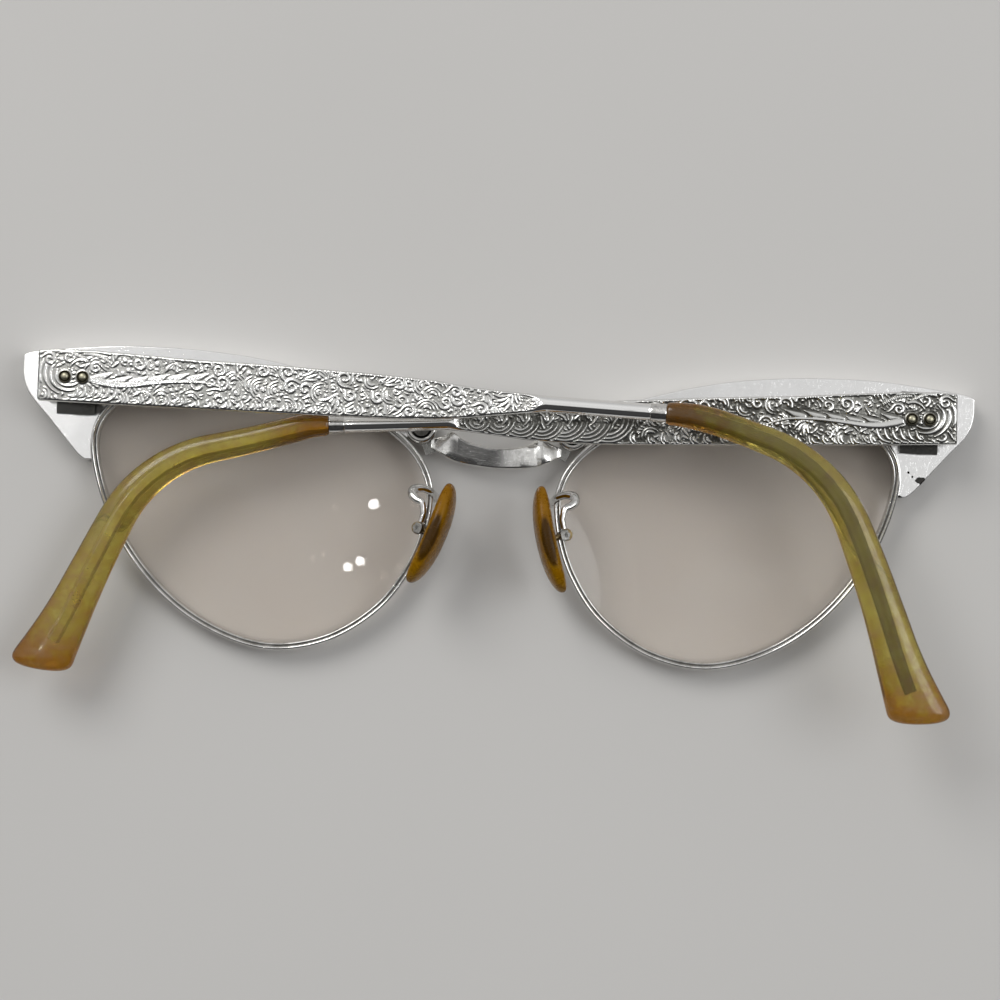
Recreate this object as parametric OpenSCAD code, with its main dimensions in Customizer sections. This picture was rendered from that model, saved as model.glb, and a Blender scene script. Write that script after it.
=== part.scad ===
// Cat eye spectacles: winged aluminium brow bars over wire rims, with rocking
// nose pads and folding temples. Millimetres. The frame lies on its front, so
// +X runs along the brow, +Y up the face and +Z from the front to the wearer.
// The left temple (-X) is folded over the right one.

/* [Lenses] */
// Width of each lens
lens_w = 48; // [46:0.5:50]
// Height of each lens
lens_h = 37.4; // [35.6:0.1:38.4]
// Gap between the two lenses at the nose
nose_gap = 18.8; // [18:0.2:20.4]
// Thickness of each lens
lens_t = 2; // [1.6:0.1:2.1]
// Radius of the curve on the lens fronts
front_r = 120; // [110:5:160]

/* [Rims] */
// Width of the rim outside the lens edge
rim_w = 0.75; // [0.6:0.05:0.85]
// Depth of the rim from front to back
rim_depth = 2.6; // [2.5:0.1:2.8]

/* [Brow bars] */
// Height of the brow bar over the rim
brow_h = 3.9; // [3.5:0.05:4.4]
// Thickness of the brow bar from front to back
brow_t = 4; // [3.8:0.1:4.3]
// Reach of the wing beyond the lens edge
wing_reach = 11.1; // [10.9:0.1:12.5]
// Drop of the wing from the brow's top to its lower tip
wing_drop = 17; // [16:0.1:18]

/* [Bridge] */
// Thickness of the bridge band
bridge_t = 1.2; // [1:0.05:1.3]

/* [Temples] */
// Length of the flat plate from the hinge to its shoulder
plate_len = 68; // [66:0.5:69]
// Height of the flat plate at the hinge
plate_h = 7.25; // [6.6:0.05:7.5]
// Thickness of the flat plate
plate_t = 1.6; // [1.4:0.05:1.7]
// Diameter of the round rod behind the plate
rod_d = 2.35; // [2.1:0.05:2.5]
// Length of the round rod
rod_len = 20.2; // [19:0.1:21]
// Width of the moulded tip at its flared end
tip_w = 8.6; // [7.6:0.1:8.8]
// Thickness of the moulded tip
tip_t = 3.6; // [3.2:0.1:3.7]

/* [Nose pads] */
// Length of a nose pad
pad_len = 15.2; // [13.6:0.2:16]
// Width of a nose pad
pad_w = 8.5; // [7.5:0.1:8.8]
// Thickness of a nose pad
pad_t = 2.8; // [2.6:0.1:3]
// Diameter of the pad arm's wire
arm_d = 0.9; // [0.8:0.05:1]

/* [Hinges] */
// Diameter of the hinge screw
pin_d = 1.2; // [1.1:0.05:1.3]
// Outside diameter of the hinge knuckles
knuckle_d = 2.5; // [2.3:0.05:2.6]

/* [Hidden] */

$fn = 48;
left = -1;
right = 1;

// Clearances
seat_gap = 0.05; // between a rim and the brow around it
groove_gap = 0.04; // lens edge in its groove
screw_gap = 0.03; // fixed screws and rivets in their holes
turn_gap = 0.05; // a pin in a bore that turns on it
cheek_gap = 0.1; // side play between knuckles

silver = [0.78, 0.79, 0.8];
bright = [0.86, 0.86, 0.87];
steel = [0.6, 0.6, 0.61];
olive = [0.45, 0.4, 0.25];
amber = [0.66, 0.38, 0.12, 0.8];
dark_core = [0.3, 0.2, 0.12];
clear = [0.85, 0.88, 0.9, 0.35];

// Front: positions are taken from the lens centres' line
lens_x = (nose_gap + lens_w) / 2;
lens_out = nose_gap / 2 + lens_w;
rim_out = lens_out + rim_w;
rim_lip = 0.25;
rim_front = 0.3;
end_x = lens_out + wing_reach;
top_y = lens_h / 2 + rim_w + brow_h;
boss_x = nose_gap / 2 + 1.5;
boss_y = lens_h * 0.362;
boss_r = 2.35;
boss_top = brow_t + 0.4;
boss_sink = 1;
brow_screw_d = 1.2;
lug_z = 1.2;
lug_t = 1.2;
lock_y = 13.6;
lock_len = 1.5;
lock_slit = 0.15;
lock_z = 1.6;
lock_h = 2.3;
lock_out = rim_out + 1.85;
lock_screw_d = 1;
lock_screw_x = rim_out + 0.6;

// Hinges
hinge_rise = 1.8;
hinge_z = brow_t + hinge_rise;
wing_inset = 0.5;
leaf_t = 0.75;
swing_gap = 0.25;
plate_z = knuckle_d / 2 + swing_gap + leaf_t;
hinge_x = end_x - wing_inset - plate_z - plate_t;
hinge_y = top_y - 5.1;
hinge_step = 0.1;
pin_lean = 2;
knuckle_half = 1.05;
knuckle_end = 3.2;
front_leaf_t = 0.9;

// Temples: droop is the fall along the length, lift the raised rest angle
right_droop = 2.1;
left_lift = 4;
butt = 1;
rod_fall = 2.1;
rod_h = -0.138 * plate_h;
ferrule_len = 2.3;
ferrule_d = rod_d + 0.25;
tip_len_rest = 5.5;
core_w = 1.7;
core_t = 1;

// Pads
splay = 14.5;
pad_pivot = [nose_gap / 2 + 1.1, -0.85, 9.5];
pad_pin_d = 0.8;
pad_back = 0.6;
box_half = 1.2;
arm_back = 0.9;

// Lens outline, in half widths and half heights, from the temple side upwards
lens_form = [[1, 0.43], [0.935, 0.735], [0.7, 0.925], [0.26, 0.997], [-0.24, 0.94],
  [-0.6, 0.79], [-0.86, 0.57], [-0.988, 0.3], [-0.985, 0], [-0.895, -0.345],
  [-0.71, -0.675], [-0.41, -0.925], [-0.05, -0.998], [0.32, -0.845],
  [0.635, -0.535], [0.875, -0.095]];
// Brow's top edge from the boss to the wing: share of length, share of rise
brow_form = [[0.01, 0.24], [0.0885, 0.41], [0.227, 0.663], [0.32, 0.8], [0.415, 0.903],
  [0.54, 0.975], [0.66, 1], [0.76, 0.99], [0.85, 0.945], [0.92, 0.895], [0.974, 0.852]];
// Wing's outer edge down to its tip: share of reach, share of drop
wing_form = [[0.99, 0.882], [1, 0.845], [1, 0.732], [0.96, 0.626], [0.874, 0.532],
  [0.76, 0.454], [0.643, 0.376], [0.343, 0.165], [0.198, 0.065], [0.1, 0.02], [-0.1, 0]];
// Temple plate's edges: share of its length, share of its height
plate_top = [[0.025, 0.517], [0.11, 0.51], [0.2, 0.469], [0.32, 0.414], [0.441, 0.386],
  [0.529, 0.359], [0.618, 0.317], [0.691, 0.29], [0.779, 0.234], [0.824, 0.2],
  [0.868, 0.138], [0.912, 0.09], [0.956, 0.048], [1, 0.014]];
plate_low = [[1, -0.303], [0.949, -0.338], [0.882, -0.386], [0.824, -0.441],
  [0.735, -0.476], [0.618, -0.483]];
// Moulded tip: distance along it, width share, thickness share
tip_form = [[0, 0.36, 0.8], [4, 0.43, 0.84], [12, 0.445, 0.87], [18, 0.475, 0.89], [24, 0.52, 0.9],
  [30, 0.575, 0.92], [36, 0.62, 0.94], [42, 0.66, 0.96], [48, 0.73, 0.98], [52, 0.81, 1],
  [56, 0.91, 1], [59, 0.99, 1], [60, 1, 1]];

// Smooth closed curve through the points p, n steps a span
function closed_curve(p, n) = let (c = len(p)) [for (i = [0:c - 1], k = [0:n - 1])
  let (a = p[(i + c - 1) % c], b = p[i], d = p[(i + 1) % c], e = p[(i + 2) % c], t = k / n)
  (2 * b + (d - a) * t + (2 * a - 5 * b + 4 * d - e) * t * t
  + (3 * b - a - 3 * d + e) * t * t * t) / 2];

// Smooth open curve through the points p, n steps a span
function open_curve(p, n) = let (c = len(p) - 1) [for (i = [0:c - 1], k = [0:i == c - 1 ? n : n - 1])
  let (a = p[max(i - 1, 0)], b = p[i], d = p[i + 1], e = p[min(i + 2, c)], t = k / n)
  (2 * b + (d - a) * t + (2 * a - 5 * b + 4 * d - e) * t * t
  + (3 * b - a - 3 * d + e) * t * t * t) / 2];

// Outline p moved outwards by d
function grow(p, d) = let (c = len(p)) [for (i = [0:c - 1])
  let (t = p[(i + 1) % c] - p[(i + c - 1) % c]) p[i] + d * [t[1], -t[0]] / norm(t)];

// Position and heading at distance u along a path of [length, turn] pieces
function walk(w, u, i = 0, p = [0, 0], a = 0) =
  let (l = w[i][0], t = w[i][1], m = i == len(w) - 1 ? u : min(u, l), b = a + t * m / l,
    q = t == 0 ? p + m * [cos(a), -sin(a)]
      : p + l * 180 / (PI * t) * ([sin(b), cos(b)] - [sin(a), cos(a)]))
  m < u ? walk(w, u - l, i + 1, q, b) : [q[0], q[1], b];

function unit(v) = v / norm(v);
function tangents(p) = [for (i = [0:len(p) - 1])
  unit(p[min(i + 1, len(p) - 1)] - p[max(i - 1, 0)])];
function carry(t, n, i = 0) = i == len(t) ? []
  : let (m = unit(n - (n * t[i]) * t[i])) concat([m], carry(t, m, i + 1));

// Rings of radius r round the path p, carried without twist from the side n
function tube_rings(p, r, n, sides) = let (t = tangents(p), u = carry(t, n))
  [for (i = [0:len(p) - 1]) [for (j = [0:sides - 1]) let (a = 360 * j / sides)
    p[i] + r * (cos(a) * u[i] + sin(a) * cross(t[i], u[i]))]];

lens_outline = closed_curve([for (p = lens_form)
  [lens_x + p[0] * lens_w / 2, p[1] * lens_h / 2]], 6);

// The path of the temple behind its plate: [length, turn] pieces
function tip_bends(side) = side == left
  ? [[1, 0], [7.4, 15.5], [6.4, 1.3], [17, 47.3], [17, 4.9], [13, -8]]
  : [[1, 0], [3.4, 13.5], [12.5, -3.9], [17.5, 50.5], [12, 2.4], [12.9, -6.6]];
function total(w, i = 0) = i == len(w) ? 0 : w[i][0] + total(w, i + 1);
function tip_len(side) = total(tip_bends(side));
function rod_end() = [plate_len + rod_len * cos(rod_fall), rod_h - rod_len * sin(rod_fall)];
function tip_at(side, u) = let (q = walk(tip_bends(side), u, 0, [0, 0], rod_fall))
  [rod_end()[0] + q[0], rod_end()[1] + q[1], q[2]];
function tip_share(u, side, k) =
  lookup(u * 60 / tip_len(side), [for (f = tip_form) [f[0], f[k]]]);

// Stations along a moulded tip: [distance, size share], rounded at the end
function tip_stations(side) = let (l = tip_len(side), r = tip_w * 0.35) concat(
  [[0, 0.92], [0.4, 1]],
  [for (k = [1:15]) [0.4 + k * (l - r - 0.4) / 15, 1]],
  [for (f = [0.4, 0.65, 0.83, 0.94, 1]) [l - r + r * f, pow(1.02 - pow(f, 3), 1 / 3)]]);
function swell(v, e) = sign(v) * pow(abs(v), e);
function tip_ring(side, u, f, sides) = let (q = tip_at(side, u),
  w = f * tip_w * tip_share(u, side, 1) / 2,
  t = (0.35 + 0.65 * f) * tip_t * tip_share(u, side, 2) / 2)
  [for (j = [0:sides - 1]) let (a = 360 * j / sides, c = w * swell(cos(a), 0.85))
    [q[0] + c * sin(q[2]), q[1] + c * cos(q[2]), t * swell(sin(a), 0.85)]];
function core_ring(side, u, g) = let (q = tip_at(side, u), w = core_w / 2 + g, t = core_t / 2 + g)
  [for (c = [[w, 0.45 * t], [0.6 * w, t], [-0.6 * w, t], [-w, 0.45 * t],
    [-w, -0.45 * t], [-0.6 * w, -t], [0.6 * w, -t], [w, -0.45 * t]])
    [q[0] + c[0] * sin(q[2]), q[1] + c[0] * cos(q[2]), c[1]]];

// Lowest point of the folded left temple, for centring the frame on Y
left_low = hinge_y + hinge_step
  + min([for (s = tip_stations(left)) min([for (p = tip_ring(left, s[0], s[1], 16)) p[1]])]);
centre_y = -(top_y + left_low) / 2;

// Joins a stack of rings into a solid
module skin(rings) {
  n = len(rings[0]);
  m = len(rings);
  polyhedron(
    points = [for (r = rings) each r],
    faces = concat(
      [[for (j = [0:n - 1]) j]],
      [for (i = [0:m - 2], j = [0:n - 1]) [i * n + j, i * n + n + j, i * n + n + (j + 1) % n]],
      [for (i = [0:m - 2], j = [0:n - 1])
        [i * n + j, i * n + n + (j + 1) % n, i * n + (j + 1) % n]],
      [[for (j = [n - 1:-1:0]) (m - 1) * n + j]]));
}

module box(x, y, z) {
  translate([x[0], y[0], z[0]])
    cube([x[1] - x[0], y[1] - y[0], z[1] - z[0]]);
}

// Puts a shape made for the right side in place on either side
module on_side(side) {
  translate([0, centre_y, 0])
    if (side == left)
      mirror([1, 0, 0]) children();
    else
      children();
}

// Space between two depths behind the curved lens front
module curved_layer(front, back) {
  translate([lens_x, 0, front_r])
    difference() {
      rotate([90, 0, 0])
        sphere(r = front_r - front, $fn = 200);
      rotate([90, 0, 0])
        sphere(r = front_r - back, $fn = 200);
    }
}

module outline_block(d, low, high) {
  translate([0, 0, low])
    linear_extrude(height = high - low)
      polygon(grow(lens_outline, d));
}

module lens_solid(g) {
  intersection() {
    outline_block(g, -1, 12);
    curved_layer(-g, lens_t + g);
  }
}

module lens(side) {
  on_side(side)
    lens_solid(0);
}

module eyewire(side) {
  on_side(side)
    difference() {
      intersection() {
        outline_block(rim_w, -1, 12);
        curved_layer(-rim_front, rim_depth - rim_front);
      }
      outline_block(-rim_lip, -2, 13);
      lens_solid(groove_gap);
      box([rim_out - 4, rim_out + 1], [lock_y, lock_y + lock_slit], [-1, 12]);
    }
}

// The two blocks that close the rim round the lens
module rim_lock(side) {
  on_side(side)
    difference() {
      union() {
        box([rim_out - 3, lock_out], [lock_y - lock_len, lock_y], [lock_z, lock_z + lock_h]);
        box([rim_out - 3, lock_out], [lock_y + lock_slit, lock_y + lock_slit + lock_len],
          [lock_z, lock_z + lock_h]);
      }
      outline_block(rim_w, -1, 12);
      lock_screw_hole(lock_screw_d / 2 + screw_gap);
    }
}

module lock_screw_hole(r) {
  translate([lock_screw_x, lock_y + lock_slit + lock_len + 1, lock_z + lock_h / 2])
    rotate([90, 0, 0])
      cylinder(r = r, h = 2 * lock_len + lock_slit + 2);
}

module rim_lock_screw(side) {
  on_side(side)
    translate([lock_screw_x, lock_y + lock_slit + lock_len, lock_z + lock_h / 2])
      rotate([90, 0, 0]) {
        cylinder(r = lock_screw_d / 2, h = 2 * lock_len + lock_slit - 0.2);
        translate([0, 0, -0.5])
          difference() {
            cylinder(r = lock_screw_d * 0.9, h = 0.5);
            box([-2, 2], [-0.12, 0.12], [-1, 0.2]);
          }
      }
}

function brow_edge() = concat(
  [for (p = brow_form) [boss_x + p[0] * (end_x - boss_x), boss_y + p[1] * (top_y - boss_y)]],
  [for (p = wing_form) [rim_out + p[0] * (end_x - rim_out), top_y - wing_drop * (1 - p[1])]]);

module brow_bar(side) {
  on_side(side)
    difference() {
      union() {
        difference() {
          linear_extrude(height = brow_t)
            polygon(concat([[boss_x - 1, boss_y + 1]], brow_edge(),
              [[lens_x, top_y - wing_drop], [boss_x + 1, boss_y - 1.5]]));
          outline_block(rim_w + seat_gap, -1, brow_t + 1);
        }
        difference() {
          translate([boss_x, boss_y, 0])
            cylinder(r = boss_r, h = boss_top);
          outline_block(rim_w + seat_gap, -1, brow_t + 1);
        }
      }
      lug_plate(seat_gap, 4);
      translate([boss_x, boss_y, 0.4])
        cylinder(r = brow_screw_d / 2 + screw_gap, h = boss_top);
      translate([boss_x, boss_y, boss_top - boss_sink])
        cylinder(r = 1.5, h = 2);
      box([rim_out - 4, lock_out + 0.1], [lock_y - lock_len - 0.1, lock_y + lock_slit + lock_len + 0.1],
        [lock_z - 0.1, brow_t + 1]);
      box([lock_screw_x - 1.1, lock_screw_x + 1.1], [lock_y, lock_y + lock_slit + lock_len + 0.7],
        [lock_z - 0.1, brow_t + 1]);
      front_rivet_places()
        cylinder(r = 0.6 + screw_gap, h = brow_t);
    }
}

module front_rivet_places() {
  for (y = [hinge_y - 2.65, hinge_y + 2.65])
    translate([hinge_x - 2.75, y, 1.2])
      children();
}

module front_hinge_rivets(side) {
  on_side(side)
    front_rivet_places() {
      cylinder(r = 0.6, h = brow_t + front_leaf_t - 1.2);
      translate([0, 0, brow_t + front_leaf_t - 1.2])
        cylinder(r1 = 0.95, r2 = 0.6, h = 0.35);
    }
}

// Tongue from the bridge into the brow's round nasal boss
module lug_plate(g, reach) {
  translate([0, 0, lug_z - g])
    linear_extrude(height = lug_t + 2 * g) {
      translate([boss_x, boss_y])
        circle(r = boss_r - 0.6 + g);
      translate([boss_x, boss_y])
        rotate(-113.5)
          translate([0, -0.85 - g])
            square([reach, 1.7 + 2 * g]);
    }
}

module bridge_lug(side) {
  on_side(side)
    difference() {
      lug_plate(0, 3.9);
      translate([boss_x, boss_y, 0])
        cylinder(r = brow_screw_d / 2 + screw_gap, h = 4);
      outline_block(rim_w, -1, 12);
    }
}

module brow_screw(side) {
  on_side(side)
    translate([boss_x, boss_y, 0]) {
      translate([0, 0, 0.5])
        cylinder(r = brow_screw_d / 2, h = boss_top - boss_sink - 0.5);
      translate([0, 0, boss_top - boss_sink])
        difference() {
          cylinder(r = 1.2, h = 0.6);
          box([-2, 2], [-0.16, 0.16], [0.3, 1]);
        }
    }
}

bridge_foot = lug_z + lug_t + bridge_t / 2;
bridge_rise = bridge_foot + 1.6;
bridge_top = [[-6.4, 13.3], [-4.7, 11.95], [-2.4, 11.35], [0, 10.95], [2.4, 11.35], [4.7, 11.95],
  [6.4, 13.3]];
bridge_low = [[9.3, 10.45], [11.5, 10.3], [11.5, 9.6], [9.3, 9.65], [7.2, 9.15], [5.4, 8.55],
  [2.2, 8.25], [0, 8.15], [-2.2, 8.25], [-5.4, 8.55], [-7.2, 9.15], [-9.3, 9.65],
  [-11.5, 9.6], [-11.5, 10.3], [-9.3, 10.45]];
bridge_line = [[-12, 0], [-9, 0], [-5.6, 1], [5.6, 1], [9, 0], [12, 0]];

module bridge() {
  color(bright)
    translate([0, centre_y, 0])
      difference() {
        intersection() {
          linear_extrude(height = 8)
            polygon([for (p = concat(bridge_top, bridge_low)) [p[0] * nose_gap / 18.8,
              p[1] * lens_h / 37.4]]);
          translate([0, 30, 0])
            rotate([90, 0, 0])
              linear_extrude(height = 60)
                polygon(concat(
                  [for (p = bridge_line) [p[0] * nose_gap / 18.8,
                    bridge_foot + 1.6 * p[1] - bridge_t / 2]],
                  [for (i = [5:-1:0]) [bridge_line[i][0] * nose_gap / 18.8,
                    bridge_foot + 1.6 * bridge_line[i][1] + bridge_t / 2]]));
        }
        outline_block(rim_w, -1, 12);
        mirror([1, 0, 0])
          outline_block(rim_w, -1, 12);
      }
}

// Pad frame: origin on the pivot, X away from the nose, Y up the pad, Z along the pin
module at_pad(side) {
  on_side(side)
    translate(pad_pivot)
      rotate([0, 0, splay])
        rotate([0, pad_turn(side), 0])
          children();
}
function pad_turn(side) = side == left ? 20 : 8;

// The arm's wire, from the rim round its loop to the back wall of the pad's box
function pad_arm_path(side) = let (up = [-sin(splay), cos(splay), 0],
  wall = pad_pivot + arm_back * [cos(splay) * cos(pad_turn(side)), sin(splay) * cos(pad_turn(side)),
    -sin(pad_turn(side))], x = nose_gap / 2 - rim_w - 0.1)
  concat(open_curve([[x, 3.6, 3.1], [x, 3.7, 4.8], [x + 0.3, 4.3, 6.4], [x + 1.7, 5, 7.4],
    [x + 3, 4.5, 8.1], [x + 3, 3.4, 8.7], [x + 2.3, 2.5, 9], wall + up * 2.4], 4),
    [wall + up * 1.9, wall + up * box_half]);

module pad_arm(side) {
  on_side(side)
    difference() {
      skin(tube_rings(pad_arm_path(side), arm_d / 2, [1, 0, 0], 12));
      outline_block(rim_w, -1, 5.3);
    }
}

// Small clevis that holds the pad's pin
module pad_box(side) {
  at_pad(side)
    difference() {
      box([-0.85, 1.35], [-box_half, box_half], [-1.2, 1.2]);
      box([-2, 1], [-2, 2], [-0.55, 0.55]);
      translate([0, 0, -2])
        cylinder(r = pad_pin_d / 2 + screw_gap, h = 4);
    }
}

module pad_pin(side) {
  at_pad(side)
    translate([0, 0, -1.2])
      cylinder(r = pad_pin_d / 2, h = 2.4);
}

module core_shape(g) {
  box([-2 - g, -1.3 + g], [-3.2 - g, 3.2 + g], [-1.5 - g, 1.5 + g]);
  box([-1.5, -0.3], [-0.9 - g, 0.9 + g], [-0.45 - g, 0.45 + g]);
}

module pad_core(side) {
  at_pad(side)
    difference() {
      union() {
        core_shape(0);
        translate([0, 0, -0.45])
          cylinder(r = 0.9, h = 0.9);
      }
      translate([0, 0, -1])
        cylinder(r = pad_pin_d / 2 + turn_gap, h = 2);
    }
}

// Pad sections from the back to the nose face: depth share, size share
pad_form = [[0, 0.8], [0.1, 0.93], [0.35, 1], [0.62, 0.985], [0.85, 0.86], [0.97, 0.62], [1, 0.4]];
function pad_ring(d, f) = [for (j = [0:23]) let (a = 15 * j, y = f * pad_len / 2 * sin(a))
  [-pad_back - d * pad_t, y, f * pad_w / 2 * cos(a) * (1 - 0.16 * sin(a))]];

module nose_pad(side) {
  at_pad(side)
    difference() {
      skin([for (p = pad_form) pad_ring(p[0], p[1])]);
      core_shape(groove_gap);
      box([-pad_back - 0.5, 0], [-box_half - 0.6, box_half + 0.6], [-1.6, 1.6]);
    }
}

// Hinge frame: origin on the pin; X points along the folded temple
module at_hinge(side) {
  translate([side * hinge_x, centre_y + hinge_y - side * hinge_step, hinge_z])
    if (side == left)
      children();
    else
      mirror([1, 0, 0]) children();
}

// Hinge frame with Y along the leaning pin
module along_pin(side) {
  rotate([side * pin_lean, 0, 0])
    children();
}

module at_temple(side) {
  if (side == left)
    translate([-hinge_x, centre_y + hinge_y + hinge_step, hinge_z])
      rotate(a = left_lift, v = [0, -cos(pin_lean), sin(pin_lean)])
        children();
  else
    at_hinge(right)
      children();
}

module in_plate(side) {
  rotate([0, 0, side == left ? 0 : -right_droop])
    children();
}

// Cylinder on the pin's line between two places along it
module knuckle(r, from, to) {
  translate([0, to, 0])
    rotate([90, 0, 0])
      cylinder(r = r, h = to - from);
}

module front_hinge(side) {
  difference() {
    union() {
      on_side(side)
        box([hinge_x - 6.3, hinge_x - 0.85], [hinge_y - 5.2, hinge_y + 3.7],
          [brow_t, brow_t + front_leaf_t]);
      at_hinge(side)
        along_pin(side)
          for (f = [-knuckle_end, knuckle_half + cheek_gap])
            let (t = f < 0 ? -knuckle_half - cheek_gap : knuckle_end) {
              knuckle(knuckle_d / 2, f, t);
              box([-0.2, 1.9], [f, t], [-hinge_rise - 0.3, 0]);
            }
    }
    at_hinge(side)
      along_pin(side) {
        knuckle(knuckle_d / 2 + 0.15, -knuckle_half - cheek_gap, knuckle_half + cheek_gap);
        knuckle(pin_d / 2 + screw_gap, -knuckle_end - 1, knuckle_end + 1);
      }
    translate([-100, -100, brow_t - 5])
      cube([200, 200, 5]);
    on_side(side)
      front_rivet_places()
        cylinder(r = 0.6 + screw_gap, h = brow_t + 2);
  }
}

module hinge_screw(side) {
  at_hinge(side)
    along_pin(side) {
      knuckle(pin_d / 2, -knuckle_end, knuckle_end);
      difference() {
        knuckle(pin_d * 0.85, knuckle_end, knuckle_end + 0.5);
        box([-2, 2], [knuckle_end + 0.25, knuckle_end + 1], [-0.14, 0.14]);
      }
    }
}

module temple_rivet_places() {
  for (s = [2.9, 5.45])
    translate([s, -0.1, plate_z - leaf_t])
      children();
}

module temple_hinge(side) {
  at_temple(side)
    difference() {
      union() {
        in_plate(side)
          box([-0.6, 7.8], [-2.6, 2.6], [plate_z - leaf_t, plate_z]);
        along_pin(side) {
          knuckle(knuckle_d / 2, -knuckle_half, knuckle_half);
          box([-knuckle_d / 2 + 0.15, knuckle_d / 2 - 0.15], [-knuckle_half, knuckle_half],
            [0, plate_z - leaf_t + 0.3]);
        }
      }
      along_pin(side)
        knuckle(pin_d / 2 + turn_gap, -4, 4);
      in_plate(side)
        temple_rivet_places()
          translate([0, 0, -1])
            cylinder(r = 0.55 + screw_gap, h = 4);
    }
}

module temple_rivets(side) {
  at_temple(side)
    in_plate(side)
      temple_rivet_places() {
        cylinder(r = 0.55, h = leaf_t + plate_t);
        translate([0, 0, leaf_t + plate_t])
          intersection() {
            translate([0, 0, -0.75])
              sphere(r = 1.15);
            cylinder(r = 0.87, h = 1);
          }
      }
}

module temple(side) {
  at_temple(side)
    in_plate(side)
      difference() {
        union() {
          translate([0, 0, plate_z])
            linear_extrude(height = plate_t)
              polygon(concat([[-butt, -0.483 * plate_h], [-butt, 0.483 * plate_h]],
                [for (p = plate_top) [p[0] * plate_len, p[1] * plate_h]],
                [for (p = plate_low) [p[0] * plate_len, p[1] * plate_h]]));
          translate([plate_len, rod_h, plate_z + plate_t / 2])
            rotate([0, 90, -rod_fall]) {
              cylinder(r = rod_d / 2, h = rod_len);
              translate([0, 0, -2.5])
                cylinder(r1 = 0.4, r2 = rod_d / 2, h = 2.5);
            }
        }
        temple_rivet_places()
          cylinder(r = 0.55 + screw_gap, h = 4);
      }
}

module temple_ferrule(side) {
  at_temple(side)
    in_plate(side)
      translate([plate_len, rod_h, plate_z + plate_t / 2])
        rotate([0, 90, -rod_fall])
          translate([0, 0, rod_len - ferrule_len])
            difference() {
              cylinder(r = ferrule_d / 2, h = ferrule_len);
              translate([0, 0, -1])
                cylinder(r = rod_d / 2, h = ferrule_len + 2);
            }
}

module core_solid(side, from, to, g) {
  n = 18;
  skin([for (k = [0:n]) core_ring(side, from + k * (to - from) / n, g)]);
}

module temple_core(side) {
  at_temple(side)
    in_plate(side)
      translate([0, 0, plate_z + plate_t / 2])
        core_solid(side, 0, tip_len(side) - tip_len_rest, 0);
}

module temple_tip(side) {
  at_temple(side)
    in_plate(side)
      translate([0, 0, plate_z + plate_t / 2])
        difference() {
          skin([for (s = tip_stations(side)) tip_ring(side, s[0], s[1], 16)]);
          core_solid(side, -0.2, tip_len(side) - tip_len_rest + groove_gap, groove_gap);
        }
}

module left_lens() {
  color(clear)
    lens(left);
}

module right_lens() {
  color(clear)
    lens(right);
}

module left_eyewire() {
  color(bright)
    eyewire(left);
}

module right_eyewire() {
  color(bright)
    eyewire(right);
}

module left_rim_lock() {
  color(bright)
    rim_lock(left);
}

module right_rim_lock() {
  color(bright)
    rim_lock(right);
}

module left_rim_lock_screw() {
  color(steel)
    rim_lock_screw(left);
}

module right_rim_lock_screw() {
  color(steel)
    rim_lock_screw(right);
}

module left_brow_bar() {
  color(silver)
    brow_bar(left);
}

module right_brow_bar() {
  color(silver)
    brow_bar(right);
}

module left_brow_screw() {
  color(steel)
    brow_screw(left);
}

module right_brow_screw() {
  color(steel)
    brow_screw(right);
}

module left_bridge_lug() {
  color(steel)
    bridge_lug(left);
}

module right_bridge_lug() {
  color(steel)
    bridge_lug(right);
}

module left_pad_arm() {
  color(bright)
    pad_arm(left);
}

module right_pad_arm() {
  color(bright)
    pad_arm(right);
}

module left_pad_box() {
  color(bright)
    pad_box(left);
}

module right_pad_box() {
  color(bright)
    pad_box(right);
}

module left_pad_pin() {
  color(steel)
    pad_pin(left);
}

module right_pad_pin() {
  color(steel)
    pad_pin(right);
}

module left_pad_core() {
  color(dark_core)
    pad_core(left);
}

module right_pad_core() {
  color(dark_core)
    pad_core(right);
}

module left_nose_pad() {
  color(amber)
    nose_pad(left);
}

module right_nose_pad() {
  color(amber)
    nose_pad(right);
}

module left_front_hinge() {
  color(steel)
    front_hinge(left);
}

module right_front_hinge() {
  color(steel)
    front_hinge(right);
}

module left_front_hinge_rivets() {
  color(olive)
    front_hinge_rivets(left);
}

module right_front_hinge_rivets() {
  color(olive)
    front_hinge_rivets(right);
}

module left_hinge_screw() {
  color(steel)
    hinge_screw(left);
}

module right_hinge_screw() {
  color(steel)
    hinge_screw(right);
}

module left_temple_hinge() {
  color(steel)
    temple_hinge(left);
}

module right_temple_hinge() {
  color(steel)
    temple_hinge(right);
}

module left_temple() {
  color(silver)
    temple(left);
}

module right_temple() {
  color(silver)
    temple(right);
}

module left_temple_rivets() {
  color(olive)
    temple_rivets(left);
}

module right_temple_rivets() {
  color(olive)
    temple_rivets(right);
}

module left_temple_ferrule() {
  color(bright)
    temple_ferrule(left);
}

module right_temple_ferrule() {
  color(bright)
    temple_ferrule(right);
}

module left_temple_core() {
  color(olive)
    temple_core(left);
}

module right_temple_core() {
  color(olive)
    temple_core(right);
}

module left_temple_tip() {
  color(amber)
    temple_tip(left);
}

module right_temple_tip() {
  color(amber)
    temple_tip(right);
}

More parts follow.
